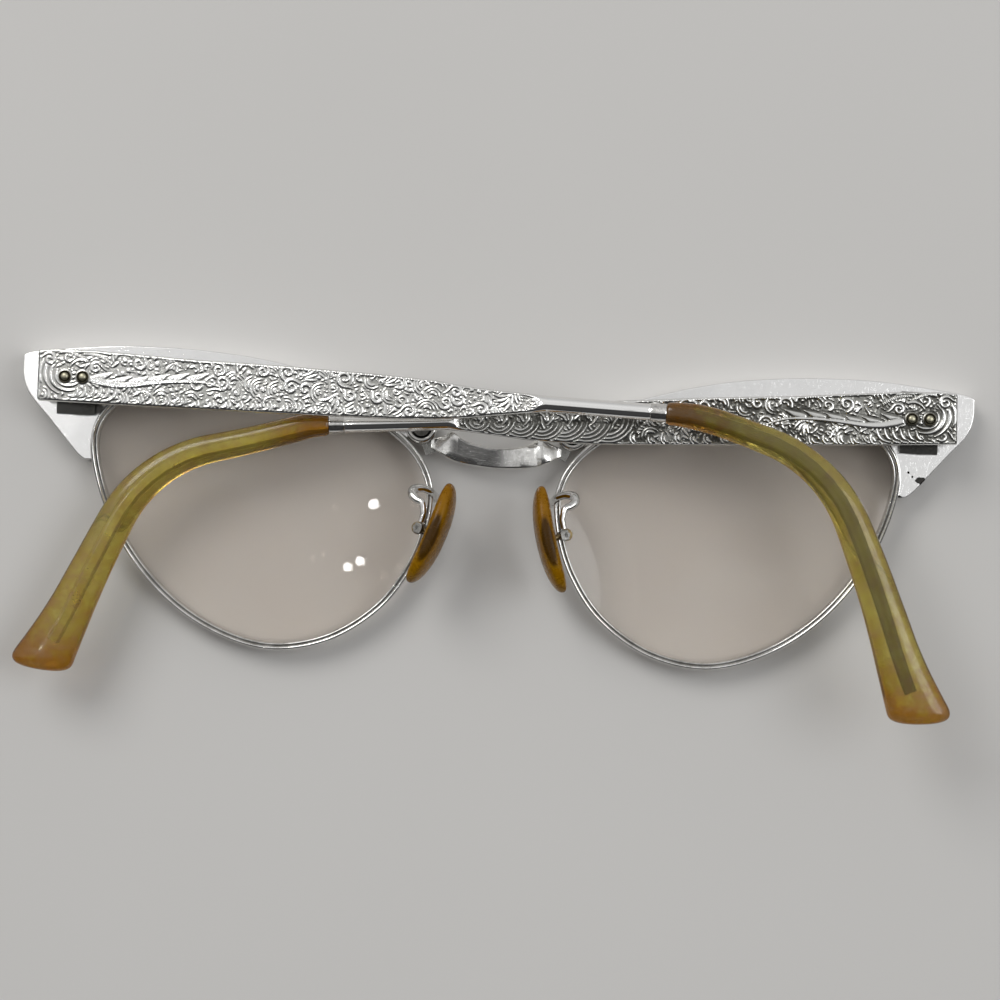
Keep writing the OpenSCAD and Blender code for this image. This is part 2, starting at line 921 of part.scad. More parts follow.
bridge();
left_lens();
right_lens();
left_eyewire();
right_eyewire();
left_rim_lock();
right_rim_lock();
left_rim_lock_screw();
right_rim_lock_screw();
left_brow_bar();
right_brow_bar();
left_brow_screw();
right_brow_screw();
left_bridge_lug();
right_bridge_lug();
left_pad_arm();
right_pad_arm();
left_pad_box();
right_pad_box();
left_pad_pin();
right_pad_pin();
left_pad_core();
right_pad_core();
left_nose_pad();
right_nose_pad();
left_front_hinge();
right_front_hinge();
left_front_hinge_rivets();
right_front_hinge_rivets();
left_hinge_screw();
right_hinge_screw();
left_temple_hinge();
right_temple_hinge();
left_temple();
right_temple();
left_temple_rivets();
right_temple_rivets();
left_temple_ferrule();
right_temple_ferrule();
left_temple_core();
right_temple_core();
left_temple_tip();
right_temple_tip();
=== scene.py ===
"""Cat eye eyeglasses: the looks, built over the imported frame. Lengths here are in millimetres."""
import math
import bmesh
import bpy
import numpy as np
from mathutils import Matrix, Vector


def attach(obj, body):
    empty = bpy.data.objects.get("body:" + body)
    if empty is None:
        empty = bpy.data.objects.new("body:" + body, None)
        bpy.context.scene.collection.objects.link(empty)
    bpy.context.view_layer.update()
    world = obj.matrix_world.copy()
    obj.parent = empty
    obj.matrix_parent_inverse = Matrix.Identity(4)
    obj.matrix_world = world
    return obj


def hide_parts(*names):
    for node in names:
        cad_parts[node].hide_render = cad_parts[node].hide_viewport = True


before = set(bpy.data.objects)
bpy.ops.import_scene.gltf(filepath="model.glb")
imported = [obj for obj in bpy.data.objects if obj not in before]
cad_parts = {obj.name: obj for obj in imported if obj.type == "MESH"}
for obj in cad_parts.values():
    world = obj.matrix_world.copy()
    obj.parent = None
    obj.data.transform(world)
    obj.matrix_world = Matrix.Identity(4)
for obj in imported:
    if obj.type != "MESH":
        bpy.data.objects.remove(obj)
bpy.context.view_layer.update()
stage = bpy.context.scene

MM = 0.001
LEFT, RIGHT = -1, 1
SIDES = (("left", LEFT), ("right", RIGHT))

# Sizes shared with the CAD
CENTRE_Y = 1.65927
LENS_X, LENS_W, LENS_H, LENS_GAP = 33.4, 48.0, 37.4, 18.8
LENS_T, LENS_EDGE, FRONT_R = 2.0, 0.25, 120.0
RIM_OUT, RIM_W, RIM_FRONT = 58.15, 0.75, 0.3
BROW_T, TOP_Y, END_X, DROP = 4.0, 23.35, 68.5, 17.0
BOSS_X, BOSS_Y = 10.9, 13.5388
HINGE_X, HINGE_Y, HINGE_Z = 64.15, 18.25, 5.8
HINGE_STEP, PIN_LEAN, LIFT, DROOP = 0.1, math.radians(2), math.radians(4), math.radians(2.1)
PLATE_Z, PLATE_T, PLATE_LEN, PLATE_H = 2.25, 1.6, 68.0, 7.25
ROD_H, ROD_R, ROD_LEN, ROD_FALL = -0.138 * PLATE_H, 1.175, 20.2, math.radians(2.1)
FERRULE_LEN = 2.3
TIP_W, TIP_T = 8.6, 3.6
PAD_PIVOT, SPLAY, PAD_W = (10.5, -0.85, 9.5), math.radians(14.5), 8.5
PAD_TURN = {LEFT: math.radians(20), RIGHT: math.radians(8)}

# The middle of a plate's thickness, and the line of the rod behind it
MID_Z = PLATE_Z + PLATE_T / 2
ROD_START = np.array((PLATE_LEN, ROD_H, MID_Z))
ROD_AXIS = np.array((math.cos(ROD_FALL), -math.sin(ROD_FALL), 0.0))

# Outlines as shares of the sizes above. A temple plate's rows begin with millimetres from its pin
LENS_FORM = [(1, .43), (.935, .735), (.7, .925), (.26, .997), (-.24, .94), (-.6, .79),
             (-.86, .57), (-.988, .3), (-.985, 0), (-.895, -.345), (-.71, -.675),
             (-.41, -.925), (-.05, -.998), (.32, -.845), (.635, -.535), (.875, -.095)]
BROW_FORM = [(.01, .24), (.0885, .41), (.227, .663), (.32, .8), (.415, .903), (.54, .975),
             (.66, 1), (.76, .99), (.85, .945), (.92, .895), (.974, .852)]
WING_FORM = [(.99, .882), (1, .845), (1, .732), (.96, .626), (.874, .532), (.76, .454),
             (.643, .376), (.343, .165), (.198, .065), (.1, .02), (-.1, 0)]
PLATE_TOP = [(-1, .483), (0, .5), (1.7, .517), (7.5, .51), (13.6, .469), (21.8, .414), (30, .386),
             (36, .359), (42, .317), (47, .29), (53, .234), (56, .2), (59, .138), (62, .09),
             (65, .06), (68, .035), (71.3, .0076)]
PLATE_LOW = [(-1, -.505), (10, -.535), (25, -.555), (42, -.575), (50, -.575), (56, -.545),
             (60, -.5), (64.5, -.42), (68, -.36), (71.3, -.3166)]
# Each bend of a tip is its length and its turn in degrees
TIP_BENDS = {LEFT: [(1, 0), (7.4, 15.5), (6.4, 1.3), (17, 47.3), (17, 4.9), (13, -8)],
             RIGHT: [(1, 0), (3.4, 13.5), (12.5, -3.9), (17.5, 50.5), (12, 2.4), (12.9, -6.6)]}
# Along a tip in sixtieths: its width and its thickness
TIP_FORM = [(0, .36, .8), (4, .43, .84), (12, .445, .87), (18, .475, .89), (24, .52, .9),
            (30, .575, .92), (36, .62, .94), (42, .66, .96), (48, .73, .98), (52, .81, 1),
            (56, .91, 1), (59, .99, 1), (60, 1, 1)]


# Places: X runs away from the nose on both sides
def front_place(side):
    return Matrix.Translation((0, CENTRE_Y, 0)) @ Matrix.Diagonal((side, 1, 1, 1))


def temple_place(side):
    at = Matrix.Translation((side * HINGE_X, CENTRE_Y + HINGE_Y - side * HINGE_STEP, HINGE_Z))
    if side == LEFT:
        axis = Vector((0, -math.cos(PIN_LEAN), math.sin(PIN_LEAN)))
        return at @ Matrix.Rotation(LIFT, 4, axis)
    return at @ Matrix.Diagonal((-1, 1, 1, 1)) @ Matrix.Rotation(-DROOP, 4, "Z")


def pad_place(side):
    return (front_place(side) @ Matrix.Translation(PAD_PIVOT)
            @ Matrix.Rotation(SPLAY, 4, "Z") @ Matrix.Rotation(PAD_TURN[side], 4, "Y"))


# Curves and solids
def table(rows, x, column=1):
    """Reads a column of a table at x, which may lie between its rows."""
    return np.interp(x, [r[0] for r in rows], [r[column] for r in rows])


def heading(a):
    return np.array((math.cos(a), math.sin(a)))


def angles(n):
    return [2 * math.pi * j / n for j in range(n)]


def catmull(a, b, c, d, t):
    return (2 * b + (c - a) * t + (2 * a - 5 * b + 4 * c - d) * t * t
            + (3 * b - a - 3 * c + d) * t ** 3) / 2


def closed_curve(points, n):
    p, c = [np.array(q, float) for q in points], len(points)
    return [catmull(p[i - 1], p[i], p[(i + 1) % c], p[(i + 2) % c], k / n)
            for i in range(c) for k in range(n)]


def open_curve(points, n):
    p, c = [np.array(q, float) for q in points], len(points) - 1
    out = [catmull(p[max(i - 1, 0)], p[i], p[i + 1], p[min(i + 2, c)], k / n)
           for i in range(c) for k in range(n)]
    return out + [p[c]]


def loft(rings, close=True):
    """Verts and faces of a skin through rings of equal count, capped at both ends."""
    n, m = len(rings[0]), len(rings)
    verts = [tuple(v) for r in rings for v in r]
    faces = [(i * n + j, i * n + (j + 1) % n, (i + 1) * n + (j + 1) % n, (i + 1) * n + j)
             for i in range(m - 1) for j in range(n)]
    if close:
        faces += [tuple(range(n - 1, -1, -1)), tuple(range((m - 1) * n, m * n))]
    else:
        faces += [((m - 1) * n + j, (m - 1) * n + (j + 1) % n, (j + 1) % n, j) for j in range(n)]
    return verts, faces


def tube(path, radii, sides, side_dir=(1, 0, 0)):
    """Round tube along a path, carried without twist, with a radius for each place."""
    p = [np.array(q, float) for q in path]
    u, rings = np.array(side_dir, float), []
    for i, q in enumerate(p):
        t = p[min(i + 1, len(p) - 1)] - p[max(i - 1, 0)]
        t = t / np.linalg.norm(t)
        u = u - t * np.dot(u, t)
        u = u / np.linalg.norm(u)
        w = np.cross(t, u)
        rings.append([q + radii[i] * (math.cos(a) * u + math.sin(a) * w) for a in angles(sides)])
    return loft(rings)


def turned(profile, n, at=(0, 0, 0)):
    """Lathe: a profile of (radius, height) round Z, capped at both ends."""
    return loft([[(at[0] + r * math.cos(a), at[1] + r * math.sin(a), at[2] + z)
                  for a in angles(n)] for r, z in profile])


def joined(*parts):
    verts, faces = [], []
    for v, f in parts:
        faces += [tuple(i + len(verts) for i in face) for face in f]
        verts += list(v)
    return verts, faces


def swell(v, e=0.85):
    """A sine or cosine made fuller, so that a round section grows squarer."""
    return math.copysign(abs(v) ** e, v)


def prism(outline, low, high):
    n = len(outline)
    verts = [(x, y, low) for x, y in outline] + [(x, y, high) for x, y in outline]
    faces = [tuple(range(n - 1, -1, -1)), tuple(range(n, 2 * n))]
    faces += [(i, (i + 1) % n, n + (i + 1) % n, n + i) for i in range(n)]
    return verts, faces


def add_object(name, data):
    obj = bpy.data.objects.new(name, data)
    stage.collection.objects.link(obj)
    return obj


def piece(name, solid, place, look, body, nodes, soft=35, layers=None):
    """Makes an object, hangs it on its body and hides the CAD parts that it stands for."""
    mesh = bpy.data.meshes.new(name)
    mesh.from_pydata([tuple(c * MM for c in place @ Vector(v)) for v in solid[0]], [], solid[1])
    for key, values in (layers or {}).items():
        mesh.attributes.new(key, "FLOAT", "POINT").data.foreach_set("value", values)
    bm = bmesh.new()
    bm.from_mesh(mesh)
    bmesh.ops.recalc_face_normals(bm, faces=bm.faces)
    bm.to_mesh(mesh)
    bm.free()
    mesh.shade_smooth()
    mesh.set_sharp_from_angle(angle=math.radians(soft))
    mesh.materials.append(look.mat)
    obj = add_object(name, mesh)
    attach(obj, body)
    if nodes:
        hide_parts(*nodes)
    return obj


def bevel(obj, width, segments, angle=35):
    mod = obj.modifiers.new("edges", "BEVEL")
    mod.width = width * MM
    mod.segments = segments
    mod.limit_method = "ANGLE"
    mod.angle_limit = math.radians(angle)
    mod.harden_normals = True


# Materials
class Graph:
    """Short names for the nodes of one shader tree."""

    def __init__(self, tree):
        self.tree = tree
        self.tree.nodes.clear()

    def node(self, kind, **values):
        n = self.tree.nodes.new(kind)
        for key, value in values.items():
            if hasattr(n, key):
                setattr(n, key, value)
            else:
                n.inputs[key].default_value = value
        return n

    def link(self, a, b):
        self.tree.links.new(a, b)

    def ramp(self, fac, stops):
        n = self.node("ShaderNodeValToRGB")
        r = n.color_ramp
        while len(r.elements) < len(stops):
            r.elements.new(0.5)
        for e, (at, colour) in zip(r.elements, stops):
            e.position = at
            e.color = (*colour, 1) if isinstance(colour, tuple) else (colour, colour, colour, 1)
        self.link(fac, n.inputs["Fac"])
        return n.outputs["Color"]

    def put(self, value, socket):
        """Sets a socket's number or colour, or links it."""
        if isinstance(value, (int, float)):
            socket.default_value = value
        elif isinstance(value, tuple):
            socket.default_value = (*value, 1)
        else:
            self.link(value, socket)

    def mix(self, fac, a, b):
        n = self.node("ShaderNodeMix", data_type="RGBA")
        self.put(fac, n.inputs[0])
        self.put(a, n.inputs[6])
        self.put(b, n.inputs[7])
        return n.outputs[2]

    def math(self, op, a, b=0.0, clamp=False):
        n = self.node("ShaderNodeMath", operation=op, use_clamp=clamp)
        self.put(a, n.inputs[0])
        self.put(b, n.inputs[1])
        return n.outputs[0]

    def split(self, vector):
        n = self.node("ShaderNodeSeparateXYZ")
        self.link(vector, n.inputs[0])
        return n.outputs

    def times(self, a, b):
        return self.math("MULTIPLY", a, b)

    def vary(self, value, much):
        """A value from 0 to 1 spread about nought."""
        return self.times(self.math("SUBTRACT", value, 0.5), much)

    def away(self, x, y):
        """The distance of (x, y) from the middle."""
        squares = [self.times(d, d) for d in (x, y)]
        return self.math("SQRT", self.math("ADD", *squares))

    def step(self, value, low, high):
        """0 below low, 1 above high and smooth between; low may be the larger."""
        n = self.node("ShaderNodeMapRange", interpolation_type="SMOOTHSTEP",
                      **{"From Min": low, "From Max": high})
        self.link(value, n.inputs["Value"])
        return n.outputs[0]


class Look(Graph):
    """A Principled material."""

    def __init__(self, name, **sockets):
        self.mat = bpy.data.materials.new(name)
        self.mat.use_nodes = True
        super().__init__(self.mat.node_tree)
        out = self.node("ShaderNodeOutputMaterial")
        self.bsdf = self.node("ShaderNodeBsdfPrincipled")
        self.link(self.bsdf.outputs["BSDF"], out.inputs["Surface"])
        for key, value in sockets.items():
            self.bsdf.inputs[key.replace("_", " ")].default_value = value
        self.coord = self.node("ShaderNodeTexCoord").outputs["Object"]

    def feed(self, socket, key):
        self.link(socket, self.bsdf.inputs[key])

    def paint(self, key, fac, stops):
        self.feed(self.ramp(fac, stops), key)

    def noise(self, scale, detail, rough=0.55, stretch=None, distort=0.0):
        n = self.node("ShaderNodeTexNoise", Scale=scale, Detail=detail, Roughness=rough,
                      Distortion=distort)
        at = self.coord
        if stretch:
            m = self.node("ShaderNodeMapping", Scale=stretch[0], Rotation=stretch[1])
            self.link(at, m.inputs["Vector"])
            at = m.outputs["Vector"]
        self.link(at, n.inputs["Vector"])
        return n.outputs["Fac"]

    def attribute(self, name):
        return self.node("ShaderNodeAttribute", attribute_name=name).outputs["Fac"]

    def bump(self, *layers):
        """Each layer is a height socket and its depth in millimetres."""
        normal = None
        for height, depth in layers:
            n = self.node("ShaderNodeBump", Strength=1.0, Distance=depth * MM)
            self.link(height, n.inputs["Height"])
            if normal is not None:
                self.link(normal, n.inputs["Normal"])
            normal = n.outputs["Normal"]
        self.feed(normal, "Normal")

    def spot(self, x, y, size, wobble, flat):
        """1 inside an uneven patch on the back of the frame; a flat one has a soft edge."""
        east, north, _ = self.split(self.coord)
        dx = self.math("SUBTRACT", east, x * MM)
        dy = self.times(self.math("SUBTRACT", north, y * MM), flat)
        r = self.math("ADD", self.away(dx, dy), self.vary(wobble, size * MM))
        if flat > 1:
            return self.step(r, size * 0.5 * MM, size * 0.34 * MM)
        return self.math("LESS_THAN", r, size * 0.5 * MM)


def polished_metal(name, bright, dull, rough, scratch, grime=0.0, warp=0.02):
    """Old polished metal: clouds of duller metal, scratches, small dents, and painted shade by the
    attribute cut.
    """
    look = Look(name, Metallic=1.0)
    clouds = look.noise(260, 5, 0.6)
    specks = look.noise(2600, 3, 0.6)
    lines_a = look.noise(900, 2, 0.5, ((1, 16, 4), (0, 0, 0.5)))
    lines_b = look.noise(1200, 2, 0.5, ((18, 1, 4), (0, 0, 0.25)))
    hair = look.math("MAXIMUM", look.math("GREATER_THAN", lines_a, 0.685),
                     look.math("GREATER_THAN", lines_b, 0.69))
    colour = look.ramp(clouds, [(0.3, dull), (0.62, bright)])
    colour = look.mix(look.times(hair, 0.25), colour, tuple(c * 0.55 for c in dull))
    if grime:
        dirt_and_shade = look.ramp(look.times(clouds, specks), [(0.1, 1.0), (0.24, 0.0)])
        colour = look.mix(look.times(dirt_and_shade, grime), colour, (0.09, 0.085, 0.07))
    # Painted shade where the attribute cut is set: in the rim's back groove and the boss's recess
    look.colour = look.mix(look.attribute("cut"), colour, (0.05, 0.048, 0.043))
    look.feed(look.colour, "Base Color")
    look.paint("Roughness", look.math("ADD", look.times(clouds, 0.6), look.times(specks, 0.4)),
               [(0.35, rough * 1.5), (0.65, rough * 0.7)])
    look.bump((look.noise(120, 2), warp), (hair, -0.0015 * scratch), (specks, 0.0012 * scratch))
    return look


brow_look = polished_metal("brow_aluminium", (0.915, 0.91, 0.9), (0.875, 0.87, 0.86), 0.13, 0.8,
                           warp=0.012)
# Four chips in the right wing, and by each hinge a painted shadow and reflection of the temple's
# dark underside: place, size and flatness
chips = brow_look.noise(1500, 2)
chip_and_hinge_shade_mask = 0.0
for x, y, size, flat in ((61.2, 10.9, 1.25, 1), (58.3, 8.3, 0.7, 1), (60.0, 11.4, 0.3, 1),
                         (59.4, 12.0, 0.35, 1), (-59.6, 15.7, 8.2, 3.2), (60.6, 15.4, 6.8, 3.6)):
    patch = brow_look.spot(x, y, size, 0.5 if flat > 1 else chips, flat)
    chip_and_hinge_shade_mask = brow_look.math("MAXIMUM", chip_and_hinge_shade_mask, patch)
# The chips and the painted shade by the hinges darken the wing to one near-black colour
brow_look.feed(brow_look.mix(chip_and_hinge_shade_mask, brow_look.colour, (0.05, 0.048, 0.045)), "Base Color")

bright_look = polished_metal("bright_metal", (0.82, 0.81, 0.79), (0.64, 0.63, 0.605), 0.1, 1.2,
                             grime=0.35)
bridge_look = polished_metal("bridge_metal", (0.9, 0.89, 0.865), (0.7, 0.69, 0.665), 0.15, 1.6,
                             grime=0.25)
steel_look = polished_metal("steel_hardware", (0.3, 0.295, 0.28), (0.1, 0.098, 0.09), 0.25, 2.0,
                            grime=0.7)
# Dark steel for the front hinge leaves, made nearly black as painted shade for the shadow and
# reflection under each temple's butt
leaf_steel_and_shade_look = polished_metal("hinge_leaf_steel_and_shade", (0.05, 0.049, 0.046), (0.018, 0.018, 0.017), 0.2,
                           1.0, grime=0.8)
# The wire in the left temple's tip is dark, and the one in the right temple's tip is pale
core_looks = {
    LEFT: polished_metal("temple_core_metal", (0.09, 0.078, 0.024), (0.06, 0.052, 0.018), 0.4, 1.5),
    RIGHT: polished_metal("temple_core_pale", (0.7, 0.65, 0.33), (0.56, 0.5, 0.23), 0.35, 1.5)}
pad_core_look = polished_metal("pad_core_metal", (0.2, 0.15, 0.08), (0.07, 0.05, 0.025), 0.3, 2.0,
                               grime=0.4)

# Rivets: dirt in the ring round each dome
rivet_look = Look("rivet_metal", Metallic=1.0)
rivet_dirt = rivet_look.math("ADD", rivet_look.attribute("cut"),
                             rivet_look.vary(rivet_look.noise(1800, 3), 0.5), clamp=True)
rivet_look.paint("Base Color", rivet_dirt,
                 [(0.05, (0.42, 0.4, 0.3)), (0.3, (0.26, 0.245, 0.165)),
                  (0.65, (0.09, 0.08, 0.055)), (0.9, (0.02, 0.019, 0.015))])
rivet_look.paint("Roughness", rivet_dirt, [(0.0, 0.36), (1.0, 0.55)])
rivet_look.bump((rivet_look.noise(900, 2), 0.01))

# The engraved plates: the cuts hold a dark patina, made darker on the right plate as painted shade,
# and the tops are rubbed bright
plate_look = Look("temple_aluminium", Metallic=1.0)
cloudy = plate_look.math("ADD", plate_look.times(plate_look.noise(300, 4), 0.7), 0.65)
tarnish_and_shade = plate_look.math("MULTIPLY", plate_look.attribute("cut"), cloudy, clamp=True)
plate_look.paint("Base Color", tarnish_and_shade,
                 [(0.0, (0.92, 0.915, 0.9)), (0.3, (0.7, 0.698, 0.675)),
                  (0.7, (0.3, 0.297, 0.275)), (1.0, (0.075, 0.073, 0.065))])
plate_look.paint("Roughness", tarnish_and_shade, [(0.0, 0.085), (0.5, 0.26), (1.0, 0.45)])
plate_look.bump((plate_look.noise(140, 2), 0.015), (plate_look.noise(3500, 3), 0.002))


def amber_look(name, rough, transmission, veins, haze, gloss, stops):
    """Old translucent plastic: browner by the attribute along, and dark over metal by core."""
    look = Look(name, IOR=1.3 + 0.6 * gloss, Transmission_Weight=transmission,
                Specular_IOR_Level=gloss)
    along = look.attribute("along")
    streaks = look.noise(170, 4, 0.6, (veins, (0, 0, 0)), 0.6)
    mottle = look.noise(620, 5, 0.65, None, 0.4)
    specks = look.noise(2200, 3, 0.6)
    shift = look.math("ADD", along, look.vary(streaks, 1.1))
    shift = look.math("ADD", shift, look.vary(mottle, 1.7), clamp=True)
    colour = look.ramp(shift, stops)
    colour = look.mix(look.ramp(specks, [(0.6, 0.0), (0.74, 0.3)]), colour, (0.1, 0.05, 0.012))
    worn_and_shade = look.times(look.ramp(mottle, [(0.46, 0.0), (0.66, 1.0)]), haze)
    colour = look.mix(worn_and_shade, colour, (0.62, 0.5, 0.28))
    look.feed(look.mix(look.attribute("core"), colour, (0.045, 0.02, 0.003)), "Base Color")
    look.paint("Roughness", mottle, [(0.35, rough), (0.7, rough * 2.6)])
    look.bump((look.noise(150, 3), 0.03), (specks, 0.002), (mottle, 0.004))
    return look


tip_look = amber_look("tip_amber", 0.09, 0.82, (1, 1, 1), 0.36, 0.28,
                      [(0.0, (0.64, 0.54, 0.13)), (0.3, (0.52, 0.38, 0.055)),
                       (0.62, (0.44, 0.2, 0.02)), (1.0, (0.38, 0.15, 0.018))])
pad_look = amber_look("pad_amber", 0.16, 0.35, (3, 0.5, 3), 0.01, 0.08,
                      [(0.0, (0.27, 0.115, 0.001)), (0.5, (0.32, 0.145, 0.001)),
                       (1.0, (0.37, 0.185, 0.002))])

glass_look = Look("lens_glass", IOR=1.5, Transmission_Weight=1.0, Roughness=0.0, Alpha=0.4)
glass_look.paint("Base Color", glass_look.noise(90, 4, 0.6),
                 [(0.3, (0.91, 0.79, 0.68)), (0.7, (0.95, 0.85, 0.75))])
glass_look.paint("Roughness", glass_look.noise(500, 4, 0.6), [(0.55, 0.0), (0.9, 0.03)])
glass_look.bump((glass_look.noise(60, 1), 0.002))


# Lenses and rims
def lens_outline(n, d=0.0):
    """Places on the lens edge moved outwards by d, as the CAD draws it, and their normals."""
    p = closed_curve([(LENS_X + x * LENS_W / 2, y * LENS_H / 2) for x, y in LENS_FORM], n)
    out = []
    for i, q in enumerate(p):
        t = p[(i + 1) % len(p)] - p[i - 1]
        t = t / np.linalg.norm(t)
        normal = np.array((t[1], -t[0]))
        out.append((q + d * normal, normal))
    return out


def bowl(x, y, depth):
    """Height at a place on the surface a given depth behind the lens fronts."""
    return FRONT_R - math.sqrt((FRONT_R - depth) ** 2 - (x - LENS_X) ** 2 - y * y)


def lens_solid():
    """Two bowls from the middle to the edge and back, with a small bevel between them."""
    edge = [q for q, _ in lens_outline(12)]
    centre = np.array((LENS_X, 0.0))
    shares = [0.02] + [k / 14 for k in range(1, 14)] + [0.975, 0.992]
    face = [[centre + s * (q - centre) for q in edge] for s in shares]
    rings = [(ring, 0.0) for ring in face]
    rings += [(edge, LENS_EDGE), (edge, LENS_T - LENS_EDGE)]
    rings += [(ring, LENS_T) for ring in face[::-1]]
    return loft([[(x, y, bowl(x, y, depth)) for x, y in ring] for ring, depth in rings])


def rim_solid():
    """The rim's section swept round the lens, with painted shade in the groove of its back."""
    section = [(-.25, .12), (-.17, .03), (-.05, 0), (.35, 0), (.52, .04), (.66, .16), (.74, .36),
               (.75, .62), (.75, 2.1), (.735, 2.3), (.67, 2.46), (.57, 2.57), (.44, 2.61),
               (.31, 2.57), (.21, 2.46), (.15, 2.34), (.08, 2.27), (.02, 2.32), (-.04, 2.39),
               (-.14, 2.41), (-.22, 2.37), (-.25, 2.28)]
    rings, cuts = [], []
    for q, normal in lens_outline(20):
        ring = []
        for out, depth in section:
            x, y = q + out * normal
            ring.append((x, y, bowl(x, y, depth - RIM_FRONT)))
            # Painted shade: the groove in the rim's back is half darkened
            cuts.append(0.5 if 0 < out < 0.2 and depth > 2.2 else 0.0)
        rings.append(ring)
    return loft(rings, close=False), cuts


# Brow bars
def brow_solid():
    """The outer edge and the wing, and back along the rim."""
    outer = [(BOSS_X + a * (END_X - BOSS_X), BOSS_Y + b * (TOP_Y - BOSS_Y)) for a, b in BROW_FORM]
    wing = [(RIM_OUT + a * (END_X - RIM_OUT), TOP_Y - DROP * (1 - b)) for a, b in WING_FORM]
    path = [tuple(p) for p in open_curve(outer + wing[:-1], 7)]
    rim = [tuple(q) for q, _ in lens_outline(14, RIM_W + 0.05)]
    tip, start = path[-1], (BOSS_X - 0.6, BOSS_Y + 1.1)
    # The bar follows the rim from beside the wing's point to the foot of the boss
    first, last = (min(range(len(rim)), key=lambda i: math.dist(rim[i], at))
                   for at in ((tip[0] - 0.8, tip[1]), (BOSS_X + 1.2, BOSS_Y - 1.2)))
    inner = (rim + rim)[first:first + (last - first) % len(rim)]
    return prism([start] + path + inner, 0.0, BROW_T)


def boss_solid():
    """The round end of a brow bar: a polished ring about a recess darkened as painted shade."""
    profile = [(.3, .05), (1.9, .05), (2.2, .25), (2.35, .7), (2.35, 3.6), (2.3, 4.0),
               (2.14, 4.25), (1.9, 4.38), (1.68, 4.36), (1.52, 4.24), (1.48, 4.1), (1.45, 3.45),
               (1.3, 3.4), (.3, 3.4)]
    # Painted shade in the recess round the screw
    dirt_and_shade = [0.9 if r < 1.6 and z > 3 else 0.0 for r, z in profile for _ in range(64)]
    return turned(profile, 64, (BOSS_X, BOSS_Y, 0)), dirt_and_shade


for name, side in SIDES:
    place = front_place(side)
    piece(name + "_lens_glass", lens_solid(), place, glass_look, "front",
          [name + "_lens"], soft=30)
    solid, cuts = rim_solid()
    piece(name + "_rim_wire", solid, place, bright_look, "front",
          [name + "_eyewire"], soft=60, layers={"cut": cuts})
    brow = piece(name + "_brow", brow_solid(), place, brow_look, "front",
                 [name + "_brow_bar"])
    bevel(brow, 0.55, 5, 50)
    solid, cuts = boss_solid()
    piece(name + "_boss", solid, place, bright_look, "front", [], soft=50,
          layers={"cut": cuts})


# Bridge: how far its top stands off its foot, from the left end to the right one
BRIDGE_LEAN = [(-9.4, 0), (-8.3, -.3), (-7.2, -.3), (-6.6, .62), (-5.5, .56), (-5.2, .42),
               (-2.4, .37), (0, .33), (1.6, .22), (3.2, .1), (4.7, -.1), (5.5, -.35), (6.0, -.3),
               (6.6, .7), (7.2, .1), (7.8, -.25), (9.4, 0)]


def bridge_solid():
    """A slightly tilted band whose facets lean to and fro where it was bent."""
    tilt, low_z, rise, sag = 0.025, 3.0, 1.6, 0.004
    top = open_curve([(0, 10.95), (2.4, 11.3), (4.7, 11.95), (6.3, 13.1), (7.3, 12.5),
                      (9.4, 11.7)], 8)
    low = open_curve([(0, 8.15), (2.2, 8.25), (5.4, 8.6), (7.2, 9.3), (8.8, 10.2), (9.6, 10.5)], 8)
    half = [0, .8, 1.6, 2.4, 3.2, 4.0, 4.7, 5.2, 5.5, 5.7, 6.0, 6.6, 7.2, 7.8, 8.3, 8.7, 8.95,
            9.15, 9.4]
    # Shares across the band, and heights about its middle
    section = [(0, -.35), (.03, -.55), (.1, -.6), (.5, -.6), (.9, -.6), (.97, -.55), (1, -.35),
               (1, .35), (.97, .53), (.9, .6), (.7, .6), (.5, .6), (.3, .6), (.1, .6), (.03, .53),
               (0, .35)]
    rings = []
    for x in [-x for x in half[:0:-1]] + half:
        hi, lo = table(top, abs(x)), table(low, abs(x))
        z = low_z + rise * np.interp(abs(x), [5.5, 9.0], [1, 0]) - sag * (x + 1.5) ** 2
        lean = table(BRIDGE_LEAN, x)
        rings.append([(x, lo + f * (hi - lo) - tilt * x, z + d + lean * (f - 0.5))
                      for f, d in section])
    return loft(rings)


piece("bridge_band", bridge_solid(), front_place(RIGHT), bridge_look, "front",
      ["bridge"], soft=17)


# Nose pads and their arms
def pad_arm_solid(side):
    """A wire that is thicker in its loop, from its solder on the rim to the wall of the clevis."""
    x = LENS_GAP / 2 - RIM_W - 0.1
    c, s = heading(SPLAY)
    across, down = heading(PAD_TURN[side])
    up = np.array((-s, c, 0))
    wall = np.array(PAD_PIVOT) - 0.1 * np.array((c * across, s * across, -down))
    path = open_curve([(x, 3.6, 3.1), (x, 3.8, 4.6), (x + .5, 4.35, 5.9), (x + 1.7, 4.8, 6.9),
                       (x + 2.85, 4.6, 7.7), (x + 3.05, 3.85, 8.4), (x + 2.4, 3.2, 8.9),
                       (x + 1.6, 2.75, 9.3), tuple(wall + up * 2.2)], 9)
    path += [wall + up * 1.6, wall + up * 0.9]
    solder = turned([(.1, 0), (.5, .02), (.72, .2), (.78, .6), (.68, 1.1), (.5, 1.5), (.3, 1.6)],
                    24, (x + 0.12, 3.6, 2.6))
    form = [(0, .5), (.3, .54), (.5, .68), (.62, .66), (.8, .52), (1, .42)]
    return joined(tube(path, table(form, np.linspace(0, 1, len(path))), 24), solder)


# Lower end, upper end, place of the middle, turn and lean in degrees of each pad
PAD_LOOKS = {LEFT: (-7.6, 7.6, -1.85, 9, 6), RIGHT: (-7.9, 7.5, -2.1, 5, 0)}


def pad_turned(side, x, y, z):
    """A place on a pad, which is turned and leans a little on its box."""
    c, s = heading(PAD_TURN[side] - math.radians(PAD_LOOKS[side][3]))
    x, z = x * c - z * s, x * s + z * c
    c, s = heading(math.radians(PAD_LOOKS[side][4]))
    return x * c - y * s, x * s + y * c, z


